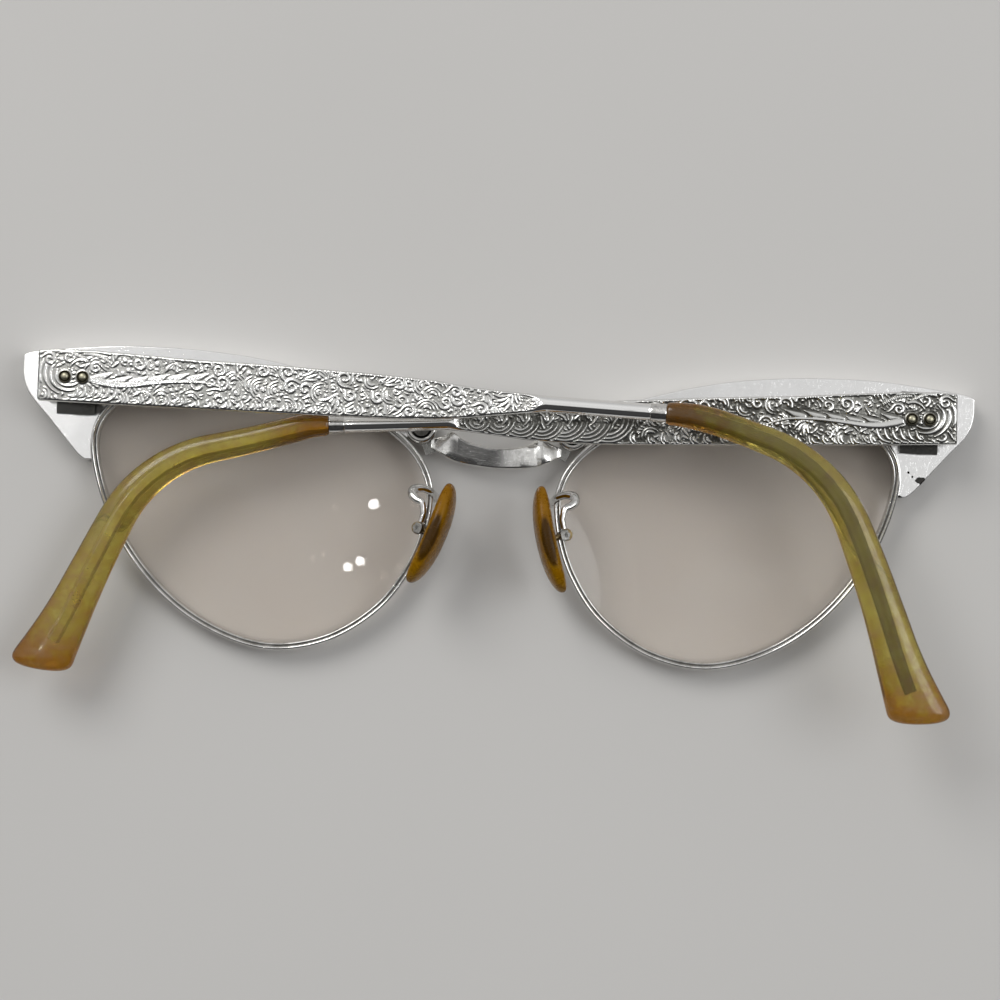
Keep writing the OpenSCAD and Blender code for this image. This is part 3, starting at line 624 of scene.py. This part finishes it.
def pad_solid(side):
    """Crescent pad: sections from the lower end to the upper one, each rounder on the nose side."""
    low, high, back, _, _ = PAD_LOOKS[side]
    rings, along, core = [], [], []
    for k in range(49):
        q = -math.cos(math.pi * k / 48)
        y = (low + high) / 2 + q * (high - low) / 2
        full = max(0.003, 1 - abs(q) ** 2.8) ** 0.5
        wide = PAD_W / 2 * full * (0.93 - 0.1 * q)
        thick = 1.42 * full ** 0.8
        middle = back - 0.75 * (1 - q * q)
        ring = []
        for b in angles(56):
            u, v = math.cos(b), math.sin(b)
            depth = thick * swell(u, 0.62) * (1.0 if u < 0 else 0.85)
            # The metal leaf shows as a dark oval, faint on the two broad faces
            off = (depth / 1.4 + 0.15) / 0.62 if abs(v) > 0.6 else wide * v / 2.8
            most = 0.88 if abs(v) > 0.6 else max(0, 0.3 - 0.6 * abs(v))
            core.append(np.clip((1 - ((y + 0.4) / 3.9) ** 2 - off * off) / 0.3, 0, most))
            ring.append(pad_turned(side, middle + depth, y, wide * swell(v, 0.75)))
            along.append(0.5 - 0.4 * q)
        rings.append(ring)
    return loft(rings), {"along": along, "core": core}


def pad_core_solid(side):
    """The domed metal leaf moulded into the pad, and its eye on the pin."""
    rings = []
    for k in range(17):
        q = -math.cos(math.pi * k / 16)
        full = math.sqrt(max(0.0, 1 - q * q)) * 0.97 + 0.03
        ring = []
        for b in angles(28):
            across, off = 2.5 * full * math.cos(b), 0.32 * full * math.sin(b)
            ring.append(pad_turned(side, -2.25 - 0.35 * (1 - q * q) - 0.4 * across + off,
                                   -0.4 + 3.75 * q, 0.9 * across))
        rings.append(ring)
    eye = [(.55, -.45), (.86, -.43), (.9, -.3), (.9, .3), (.86, .43), (.55, .45)]
    stem = tube([(-.75, 0, 0), (-1.4, -.1, 0), (-2.3, -.3, 0)], [.42, .45, .5], 16, (0, 1, 0))
    return joined(loft(rings), turned(eye, 28), stem)


def pad_box_solid():
    """A clevis of two rounded cheeks on a short back wall."""
    solids = []
    for z0, z1 in ((-1.2, -0.62), (0.62, 1.2)):
        cheek = [(-0.42 + 0.55 * swell(math.cos(b), 0.6), 0.75 * swell(math.sin(b), 0.6))
                 for b in angles(36)]
        solids.append(prism(cheek, z0, z1))
    wall = [(-.1, -.75), (.12, -.75), (.22, -.6), (.22, .6), (.12, .75), (-.1, .75)]
    return joined(*solids, prism(wall, -1.15, 1.15))


for name, side in SIDES:
    piece(name + "_pad_arm_wire", pad_arm_solid(side), front_place(side), bright_look, "front",
          [name + "_pad_arm"], soft=50)
    clevis = piece(name + "_pad_clevis", pad_box_solid(), pad_place(side), steel_look, "front",
                   [name + "_pad_box"], soft=40)
    bevel(clevis, 0.09, 2)
    piece(name + "_pad_leaf", pad_core_solid(side), pad_place(side), pad_core_look,
          name + "_pad", [name + "_pad_core"], soft=50)
    solid, stains = pad_solid(side)
    piece(name + "_pad", solid, pad_place(side), pad_look, name + "_pad",
          [name + "_nose_pad"], soft=60, layers=stains)


# Engraved relief of the temple plates: a map of heights, 0 in the cuts and 1 on the face
RIVETS_S, RIVET_H = (2.9, 5.45), -0.1
STEP = 0.055
MAP_S, MAP_H = -1.3, -4.5
relief = np.zeros((1340, 155))
grid_s = MAP_S + STEP * np.arange(relief.shape[0])
grid_h = MAP_H + STEP * np.arange(relief.shape[1])


def plate_span(s):
    """Heights of the upper and the lower edge of a plate."""
    return PLATE_H * table(PLATE_TOP, s), PLATE_H * table(PLATE_LOW, s)


def window(points, reach):
    """The part of the map within reach of some points."""
    p = np.array(points)
    lo = (p.min(axis=0) - reach - (MAP_S, MAP_H)) / STEP
    hi = (p.max(axis=0) + reach - (MAP_S, MAP_H)) / STEP
    a, b = max(int(lo[0]), 0), min(int(hi[0]) + 2, relief.shape[0])
    c, d = max(int(lo[1]), 0), min(int(hi[1]) + 2, relief.shape[1])
    return (slice(a, b), slice(c, d)) if a < b and c < d else None


def near(points, reach):
    """For each segment its window, the distances of the places there and their shares."""
    for a, b in zip(points[:-1], points[1:]):
        box = window([a, b], reach)
        if box:
            s, h = grid_s[box[0]][:, None], grid_h[box[1]][None, :]
            dx, dy = b[0] - a[0], b[1] - a[1]
            t = np.clip(((s - a[0]) * dx + (h - a[1]) * dy) / (dx * dx + dy * dy + 1e-9), 0, 1)
            yield box, np.hypot(s - a[0] - t * dx, h - a[1] - t * dy), t


def ridge(points, widths, top=1.0, power=0.5):
    """Raises a rounded ridge; widths are half widths along it."""
    n = len(points) - 1
    for i in range(n):
        w0, w1 = (np.interp(k / n, np.linspace(0, 1, len(widths)), widths) for k in (i, i + 1))
        for box, d, t in near(points[i:i + 2], max(w0, w1)):
            w = w0 + (w1 - w0) * t
            up = top * np.clip(1 - (d / np.maximum(w, 0.02)) ** 2, 0, 1) ** power
            relief[box] = np.maximum(relief[box], up)


def groove(points, width):
    """Cuts a round groove down to the ground."""
    for box, d, _ in near(points, width):
        relief[box] = np.minimum(relief[box], np.clip((d / width) ** 2, 0, 1))


def lane(points, width, floor=0.06):
    """Cuts a dark lane before a stroke is raised over it."""
    for box, d, _ in near(points, width):
        level = floor + np.clip((d - width + 0.1) / 0.12, 0, 1)
        relief[box] = np.minimum(relief[box], np.where(d < width, level, 1.0))


def carve(points, room, widths, power=0.45, skip=0):
    """Raises a stroke out of a lane, which leaves out the first points."""
    lane(points[skip:], room)
    ridge(points, widths, 1.0, power)


def bowed(a, b, bend, n=9):
    """A curve from a to b that leaves the straight line by bend."""
    a, b = np.array(a, float), np.array(b, float)
    side = np.array((a[1] - b[1], b[0] - a[0])) * bend
    return [a + (b - a) * t + side * 4 * t * (1 - t) for t in np.linspace(0, 1, n)]


def shell(s, h, r, start, hand, pitch):
    """A scroll of nested arcs cut over whatever lies under it, fuller on one side."""
    box = window([(s - r, h - r), (s + r, h + r)], 0.0)
    if box is None:
        return
    ds, dh = grid_s[box[0]][:, None] - s, grid_h[box[1]][None, :] - h
    d, a = np.hypot(ds, dh), np.arctan2(dh, ds)
    turn = (hand * (a - start) / (2 * math.pi)) % 1.0
    wave = 0.5 + 0.5 * np.cos(2 * math.pi * ((r - d) / pitch - turn - 0.35))
    full = 0.72 + 0.28 * np.cos(a - start - hand * 1.3)
    arcs = wave ** 0.85 * full * np.clip((r - d) / 0.16, 0, 1)
    arcs = np.where(d < 0.3 * pitch + 0.06, 1.0, arcs)
    relief[box] = np.where(d < r, arcs, relief[box])


def curl(s, h, r, start, hand, turns, tail):
    """A scroll: a tapered tail that winds in to a small knob."""
    at, out = np.array((s, h)), heading(start)
    way = hand * np.array((out[1], -out[0]))
    path = [at + out * (r + 0.4 * tail * f * f) + way * tail * f for f in (1, .66, .33)]
    for t in np.linspace(0, 1, 17):
        a = start + hand * 2 * math.pi * turns * t
        path.append(at + r * (1 - 0.74 * t ** 0.9) * heading(a))
    carve(path, 0.41, [.05, .22, .3, .27, .22, .18, .15])
    ridge([path[-1], path[-1] + (.01, 0)], [.22, .22])


def petals(s, h, r, start, count, reach=1.25, pitch=0.55):
    """Nested crescents that share one side."""
    for k in range(count):
        q = r - pitch * k
        if q > 0.3:
            at = np.array((s, h)) + 0.3 * pitch * k * heading(start)
            arc = [at + q * heading(a) for a in np.linspace(start - reach, start + reach, 13)]
            carve(arc, 0.39, [.03, .2, .29, .23, .05])


def engrave(seed, fans):
    """The scrolls of one plate, and wide fans over its narrow end where fans says so."""
    rng = np.random.default_rng(seed)
    # A bed of small arcs, so that no ground is left bare
    for _ in range(1300):
        s = rng.uniform(-1.0, 70.5)
        top, low = plate_span(s)
        shell(s, rng.uniform(low + 0.1, top - 0.1), rng.uniform(0.4, 0.8), rng.uniform(0, 6.3),
              rng.choice((-1, 1)), rng.uniform(0.4, 0.55))
    # Scrolls, nested crescents and fans of strokes, strewn so that they lap over each other
    places = []
    for s in np.arange(-0.4, 68.5, 1.95):
        top, low = plate_span(s)
        rows = 3 if top - low > 4.6 else 2
        for row in range(rows):
            h = low + (top - low) * (row + 0.5 + rng.uniform(-0.2, 0.2)) / rows
            places.append((s + 0.8 * (row % 2) + rng.uniform(-0.5, 0.5), h, row))
    for i in rng.permutation(len(places)):
        s, h, row = places[i]
        kind, turn, hand = rng.uniform(), rng.uniform(0, 6.3), (1 if row % 2 else -1)
        if kind < 0.42:
            curl(s, h, rng.uniform(0.88, 1.2), turn, hand, rng.uniform(1.05, 1.4),
                 rng.uniform(0.8, 1.8))
        elif kind < 0.74:
            petals(s, h, rng.uniform(1.15, 1.6), turn, 3)
        else:
            at, size = np.array((s, h)), rng.uniform(1.8, 2.5)
            for k in range(4):
                end = at + size * heading(turn + 0.42 * (k - 1.5))
                carve(bowed(at - 0.3 * heading(turn), end, 0.14 * hand), 0.32,
                      [.06, .17, .25, .24, .06], skip=2)
    # A row of leaning crescents along the lower edge, wide ones where the plate narrows
    for s in np.arange(8.5, 47.0, 2.1):
        petals(s + rng.uniform(-.3, .3), plate_span(s)[1] + 1.05, rng.uniform(0.85, 1.15),
               rng.uniform(-1.2, -.2), 2)
    for s in np.arange(48.5, 68.0, 3.1) if fans else ():
        top, low = plate_span(s)
        total = top - low
        petals(s, low + 0.66 * total, 0.6 * total, -1.4 + rng.uniform(-.3, .3), 3, 1.6, 0.72)
        for k in range(3):
            a = rng.uniform(0.6, 1.2) + 0.5 * k
            root = np.array((s - 0.1 * total, low + 0.45 * total))
            carve(bowed(root, root + 0.42 * total * heading(a), 0.15), 0.34,
                  [.08, .22, .26, .05], skip=1)


def engrave_butt():
    """The hinge end: broad strokes that sweep round the rivets, scrolls and a roped arch."""
    for radius, w, a0, a1 in ((4.3, .26, 2.3, 3.5), (3.55, .3, 2.1, 4.3), (2.75, .3, 2.3, 5.1),
                              (1.95, .28, 2.7, 5.5)):
        arc = [(3.6 + radius * math.cos(a), 0.1 + 0.9 * radius * math.sin(a) + 0.12 * (a - a0))
               for a in np.linspace(a0, a1, 18)]
        carve(arc, w + 0.14, [w * .3, w, w * 1.15, w * .8, w * .3], 0.4)
    for k in range(6):
        s = 3.9 + 1.12 * k
        carve(bowed((s - 1.1, -3.4), (s + 0.9, -1.75 + 0.1 * k), -0.25), 0.38,
              [.1, .26, .3, .08], 0.4)
    curl(0.65, 2.25, 0.95, 2.4, -1, 1.3, 1.2)
    curl(7.3, 1.25, 0.85, 0.5, 1, 1.3, 1.2)
    for a, b, bend in (((1.9, 3.25), (5.4, 2.4), .12), ((5.4, 3.1), (9.6, 1.85), .1),
                       ((3.6, 1.3), (6.2, 2.1), .2)):
        arch = bowed(a, b, bend, 17)
        lane(arch, 0.34)
        for p, q in zip(arch[:-1], arch[1:]):
            mid = (np.array(p) + q) / 2
            ridge([mid + (-.05, -.14), mid + (.05, .14)], [.11, .11])


def finish_relief():
    """The smooth long leaf and its leaflets, the milled border and the flats round the rivets."""
    vein = open_curve([(6.3, -.35), (8.2, -.75), (10.0, -1.05), (12.5, -1.0), (15.5, -.6),
                       (19, -.25), (22.4, -.2), (24.3, -.5), (26, -1.05)], 6)
    for s in np.arange(7.6, 22.5, 2.75):
        h = table(vein, s)
        tooth = bowed((s - 0.7, h + 0.35), (s + 2.3, h + 1.45), -0.06)
        lane(tooth, 0.62, 0.2)
        ridge(tooth, [.3, .46, .42, .26, .05], 0.8, 0.14)
        groove([tooth[2] + (-.2, .52), tooth[8] + (.1, .06)], 0.24)
    widths = [(0, .36), (.08, .56), (.3, .42), (.55, .24), (.9, .15), (1, .08)]
    for raised in (False, True):
        for i in range(len(vein) - 1):
            w = table(widths, i / (len(vein) - 2))
            if raised:
                ridge(vein[i:i + 2], [w, w], 1.0, 0.22)
            else:
                lane(vein[i:i + 2], w + 0.1, 0.4)
    for s in np.arange(17.0, 54.0, 0.36):
        h = plate_span(s)[0] - 0.3
        ridge([(s, h - .08), (s + .02, h + .1)], [.13, .13], 0.9)
    across, along = np.meshgrid(grid_h, grid_s)
    for at in RIVETS_S:
        d = np.hypot(along - at, across - RIVET_H)
        relief[:] = np.where(d < 1.12, np.where(d < 0.98, 0.75, 0.0), relief)


def cut_relief(seed, fans):
    """Makes one plate's map, with a rough ground, and smooths it."""
    relief[:] = 0
    engrave(seed, fans)
    engrave_butt()
    finish_relief()
    ground = np.random.default_rng(5).uniform(0, 0.16, relief.shape)
    ground = (ground + np.roll(ground, 1, 0) + np.roll(ground, 1, 1) + np.roll(ground, -1, 0)) / 4
    relief[:] = np.maximum(relief, ground)
    relief[1:-1, 1:-1] = (4 * relief[1:-1, 1:-1] + relief[:-2, 1:-1] + relief[2:, 1:-1]
                          + relief[1:-1, :-2] + relief[1:-1, 2:]) / 8


def sample_relief(s, h):
    """Heights of the map at places that may lie between its own."""
    x = np.clip((s - MAP_S) / STEP, 0, relief.shape[0] - 1.001)
    y = np.clip((h - MAP_H) / STEP, 0, relief.shape[1] - 1.001)
    i, j = x.astype(int), y.astype(int)
    fx, fy = x - i, y - j
    return ((relief[i, j] * (1 - fx) + relief[i + 1, j] * fx) * (1 - fy)
            + (relief[i, j + 1] * (1 - fx) + relief[i + 1, j + 1] * fx) * fy)


def along_rod(start, form):
    """A tube on the rod's line, of (place along it, radius)."""
    path = [start + ROD_AXIS * u for u, _ in form]
    return tube(path, [r for _, r in form], 40, (0, 1, 0))


def plate_back(s, middle, reach, t, r, draw):
    """The plain back of a plate's section, with corners of radius r, from the top edge down."""
    ring, last = [], 8
    for k in range(last + 1):
        f = 1 - 2 * k / last
        a = reach * math.copysign(1 - (1 - abs(f)) ** 1.6, f)
        e = min(max(abs(a) - (reach - r), 0), r)
        down = t - r + math.sqrt(max(r * r - e * e, 0)) - draw
        # A thousandth keeps the back's corners apart from the face's
        ring.append((s, middle + a, MID_Z - down - (0.0 if 0 < k < last else -0.001)))
    return ring


def temple_solid(stain_and_shade, base, depth):
    """Engraved plate whose end grows round into the rod, the rod, and the darkening on them.

    The cuts are depth deep. All the plate is darkened by base as grime, and the cuts by up to
    stain more, as patina with painted shade on top where that is large. The butt's end face
    is made fully dark.
    """
    half_t, top_r, low_r, back_r = PLATE_T / 2, 0.3, 0.5, 0.32
    butt, butt_r, rod_s, rod_grow = -1.0, 0.3, 67.8, 3.5
    stations = np.concatenate([[-1.0, -0.98, -0.93, -0.86, -0.76], np.arange(-0.66, 71.2, 0.095),
                               [71.25, 71.3]])
    rings, cuts = [], []
    for s in stations:
        top, low = plate_span(s)
        middle, half = (top + low) / 2, (top - low) / 2
        # How far the plate has grown into the rod, and how much its rounded butt draws in
        grow = np.clip((s - rod_s) / rod_grow, 0, 1)
        grow = grow * grow * (3 - 2 * grow)
        pull = np.clip((s - butt) / butt_r, 0, 1)
        pull = butt_r * (1 - math.sqrt(max(0.0, 1 - (1 - pull) ** 2)))
        t = half_t + (ROD_R - half_t) * grow
        reach, full_r = half - pull * 0.5, min(half, t)
        share = np.linspace(-1, 1, 81)
        share = np.sign(share) * (1 - (1 - np.abs(share)) ** (1 + 0.35 * grow))
        x = share * reach
        h = middle + x
        r = np.where(x > 0, top_r, low_r)
        r = r + (full_r - r) * grow
        edge = np.clip(np.abs(x) - (reach - r), 0, r)
        up = t - r + np.sqrt(np.maximum(r * r - edge * edge, 0)) - pull * 0.7
        # The engraving keeps off the edges, the ends and the sides of the rod
        inset = np.clip((half - x - 0.1) / 0.3, 0, 1) * np.clip((half + x - 0.12) / 0.35, 0, 1)
        end = np.clip((70.3 - s) / 0.9, 0, 1) * np.clip((s + 0.85) / 0.3, 0, 1)
        flat = np.clip(((half - r * 0.6) - np.abs(x)) / 0.25, 0, 1) if grow > 0 else 1.0
        bite = (1 - sample_relief(np.full_like(h, s), h)) * (inset * end * flat)
        # Patina in the cuts, with painted shade on top where the stain is large
        worn_and_shade = stain_and_shade * (0.85 + 0.15 * math.sin(0.37 * s) * math.sin(0.11 * s))
        ring = [(s, a, MID_Z + b) for a, b in zip(h, up - depth * bite)]
        cuts += list(np.clip(bite * worn_and_shade + base * (1 - grow) + (s < -0.8), 0, 1))
        back = plate_back(s, middle, reach, t, back_r + (full_r - back_r) * grow, pull * 0.7)
        cuts += [0.12] * len(back)
        rings.append(ring + back)
    rod = along_rod(ROD_START, [(u, ROD_R * k) for u, k in (
        (3.1, .985), (3.4, .995), (4, 1), (5, 1), (7, 1), (10, 1), (14, 1), (17.5, 1),
        (17.62, .97), (17.7, .97), (17.8, .99), (20.15, .99))])
    return joined(loft(rings), rod), cuts + [0.0] * len(rod[0])


def ferrule_solid():
    return along_rod(ROD_START + ROD_AXIS * (ROD_LEN - FERRULE_LEN),
                     [(0, 1.19), (.03, 1.24), (.1, 1.28), (.2, 1.3), (.8, 1.3), (1.6, 1.3),
                      (2.0, 1.3), (2.15, 1.285), (2.25, 1.25), (2.3, 1.2)])


def rivet_solid():
    """A washer, a groove and a small dome for each rivet, and how dirty each ring of it is."""
    profile = [(.55, -.7, .9), (.9, -.1, .9), (.9, .06, .75), (.87, .13, .6), (.8, .16, .7),
               (.72, .12, .95), (.66, .07, 1.0), (.6, .11, .8), (.54, .21, .3), (.44, .31, .1),
               (.28, .37, 0), (.1, .395, .05)]
    domes = [turned([(a, b) for a, b, _ in profile], 40, (s, RIVET_H, PLATE_Z + PLATE_T))
             for s in RIVETS_S]
    return joined(*domes), [c for _ in RIVETS_S for _, _, c in profile for _ in range(40)]


# Temple tips
def walk(bends, u):
    """Follows straight and bent lengths as far as u: the place and the heading in degrees."""
    p, a = np.zeros(2), 0.0
    for i, (length, turn) in enumerate(bends):
        m = u if i == len(bends) - 1 else min(u, length)
        b = a + turn * m / length
        ra, rb = math.radians(a), math.radians(b)
        if turn == 0:
            p = p + m * heading(-ra)
        else:
            k = length * 180 / (math.pi * turn)
            p = p + k * (heading(rb) - heading(ra))[::-1]
        a = b
        if m >= u:
            break
        u -= length
    return p, a


def tip_place(side, u):
    """The centre line of a moulded tip: position, and heading in radians."""
    c, s = heading(ROD_FALL)
    end = np.array((PLATE_LEN + ROD_LEN * c, ROD_H - ROD_LEN * s))
    p, a = walk(TIP_BENDS[side], u)
    return end + np.array((c * p[0] + s * p[1], -s * p[0] + c * p[1])), math.radians(a) + ROD_FALL


def tip_solid(side):
    """A flattened bar that widens to its end, browner near both ends and on its edges."""
    total = sum(b[0] for b in TIP_BENDS[side])
    r = TIP_W * 0.35
    stations = [(0.0, .86), (.06, .9), (.16, .95), (.4, 1)]
    stations += [(0.4 + k * (total - r - 0.4) / 60, 1) for k in range(1, 61)]
    stations += [(total - r + r * f, (1.004 - f ** 3) ** (1 / 3))
                 for f in (.15, .3, .45, .58, .7, .8, .88, .94, .975, .993, 1)]
    rings, along = [], []
    for u, f in stations:
        q, a = tip_place(side, u)
        share = u * 60 / total
        wide = f * TIP_W * table(TIP_FORM, share) / 2
        thick = (0.35 + 0.65 * f) * TIP_T * table(TIP_FORM, share, 2) / 2
        brown = max(math.exp(-(share / 7.5) ** 2), 1 / (1 + math.exp((54.0 - share) / 2.6)))
        # The right tip has gone brown over its lower half
        brown = max(brown, (0.3 if side == RIGHT else 0.0) / (1 + math.exp((37.0 - share) / 3)))
        late = max(0.0, (u - total + 14) / 14) ** 2
        ring, (ca, sa) = [], heading(a)
        for b in angles(36):
            c = wide * swell(math.cos(b))
            # The far end is cut slanting
            slip = late * (0.4 * c - 0.8)
            ring.append((q[0] + c * sa + slip * ca, q[1] + c * ca - slip * sa,
                         MID_Z + thick * swell(math.sin(b))))
            edge = 0.42 * abs(math.cos(b)) ** 5 * (1 - 0.6 * brown)
            along.append(min(1.0, 0.05 + 0.8 * brown + edge))
        rings.append(ring)
    return loft(rings), along


# Seed and fans of each plate's engraving, and its stain, base and depth. The right plate's far
# larger stain is painted shade, as that plate mirrors a darker room.
ENGRAVING = {LEFT: ((31, False), (0.45, 0.2, 0.1)), RIGHT: ((23, True), (1.0, 0.18, 0.23))}
for name, side in SIDES:
    place, body = temple_place(side), name + "_temple_arm"
    cut_relief(*ENGRAVING[side][0])
    solid, cuts = temple_solid(*ENGRAVING[side][1])
    piece(name + "_temple_plate", solid, place, plate_look, body,
          [name + "_temple"], soft=75, layers={"cut": cuts})
    piece(name + "_ferrule", ferrule_solid(), place, bright_look, body,
          [name + "_temple_ferrule"], soft=50)
    solid, cuts = rivet_solid()
    piece(name + "_rivets", solid, place, rivet_look, body,
          [name + "_temple_rivets"], soft=60, layers={"cut": cuts})
    solid, along = tip_solid(side)
    piece(name + "_tip", solid, place, tip_look, body, [name + "_temple_tip"],
          soft=60, layers={"along": along})

# Small fittings kept from the CAD
KEPT = {"rim_lock": bright_look, "front_hinge": leaf_steel_and_shade_look, "front_hinge_rivets": rivet_look}
for part in ("rim_lock_screw", "brow_screw", "bridge_lug", "pad_pin", "hinge_screw",
             "temple_hinge"):
    KEPT[part] = steel_look
for name, side in SIDES:
    KEPT["temple_core"] = core_looks[side]
    for part, look in KEPT.items():
        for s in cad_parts[name + "_" + part].material_slots:
            s.material = look.mat

# Floor, light and camera
FLOOR_Z = -0.03
floor_mesh = bpy.data.meshes.new("floor")
floor_mesh.from_pydata([(x, y, FLOOR_Z * MM) for x, y in ((-4, -4), (4, -4), (4, 4), (-4, 4))],
                       [], [(0, 1, 2, 3)])
floor = add_object("floor", floor_mesh)
floor_look = Look("floor", Roughness=0.85)
floor_look.paint("Base Color", floor_look.noise(6, 3),
                 [(0.3, (0.585, 0.575, 0.56)), (0.7, (0.61, 0.6, 0.585))])
floor_mesh.materials.append(floor_look.mat)

world = bpy.data.worlds.new("studio")
world.use_nodes = True
stage.world = world
sky = Graph(world.node_tree)
east, north, up = sky.split(sky.node("ShaderNodeTexCoord").outputs["Generated"])
room = sky.ramp(up, [(0.0, 0.55), (0.3, 0.6), (0.75, 0.86), (0.93, 0.8)])
# The wearer's side of the room is dark, and so is the spot straight overhead
shade = sky.times(sky.step(north, -0.05, -0.22), sky.step(up, 0.02, 0.14))
room = sky.mix(sky.times(shade, 0.95), room, (0.012, 0.012, 0.013))
far = sky.step(sky.away(east, north), 0.085, 0.035)
overhead = sky.times(far, sky.step(up, 0.5, 0.9))
room = sky.mix(sky.times(overhead, 0.65), room, (0.07, 0.068, 0.066))
back = sky.node("ShaderNodeBackground", Strength=0.9)
sky.link(room, back.inputs["Color"])
sky.link(back.outputs[0], sky.node("ShaderNodeOutputWorld").inputs["Surface"])


def lamp(name, at, size, power, colour=(1, 1, 1)):
    data = bpy.data.lights.new(name, "AREA")
    data.shape = "DISK"
    data.size = size
    data.energy = power
    data.color = colour
    obj = add_object(name, data)
    obj.location = at
    obj.rotation_euler = (-Vector(at)).to_track_quat("-Z", "Y").to_euler()


lamp("key", (-0.42, 0.5, 0.68), 0.5, 3.1, (1, 0.985, 0.96))
lamp("fill", (0.55, 0.12, 0.8), 0.5, 2.0, (0.97, 0.985, 1))
# Three small ceiling lamps that the lenses mirror
lamp("ceiling_a", (-0.268, -0.028, 0.756), 0.015, 0.024)
lamp("ceiling_b", (-0.235, 0.0655, 0.766), 0.013, 0.021)
lamp("ceiling_c", (-0.2545, 0.0565, 0.766), 0.013, 0.021)

# The camera looks straight down, turned a little
SENSOR, HALF_VIEW, ROLL = 36, math.radians(21.67 / 2), math.radians(2.7)
EYE = (0.9, 3.65 + CENTRE_Y, 380)
camera_data = bpy.data.cameras.new("camera")
camera_data.sensor_width = SENSOR
camera_data.lens = SENSOR / 2 / math.tan(HALF_VIEW)
camera_data.clip_start = 0.01
camera = add_object("camera", camera_data)
camera.location = [c * MM for c in EYE]
camera.rotation_euler = (0, 0, ROLL)
stage.camera = camera
stage.view_settings.view_transform = "Standard"
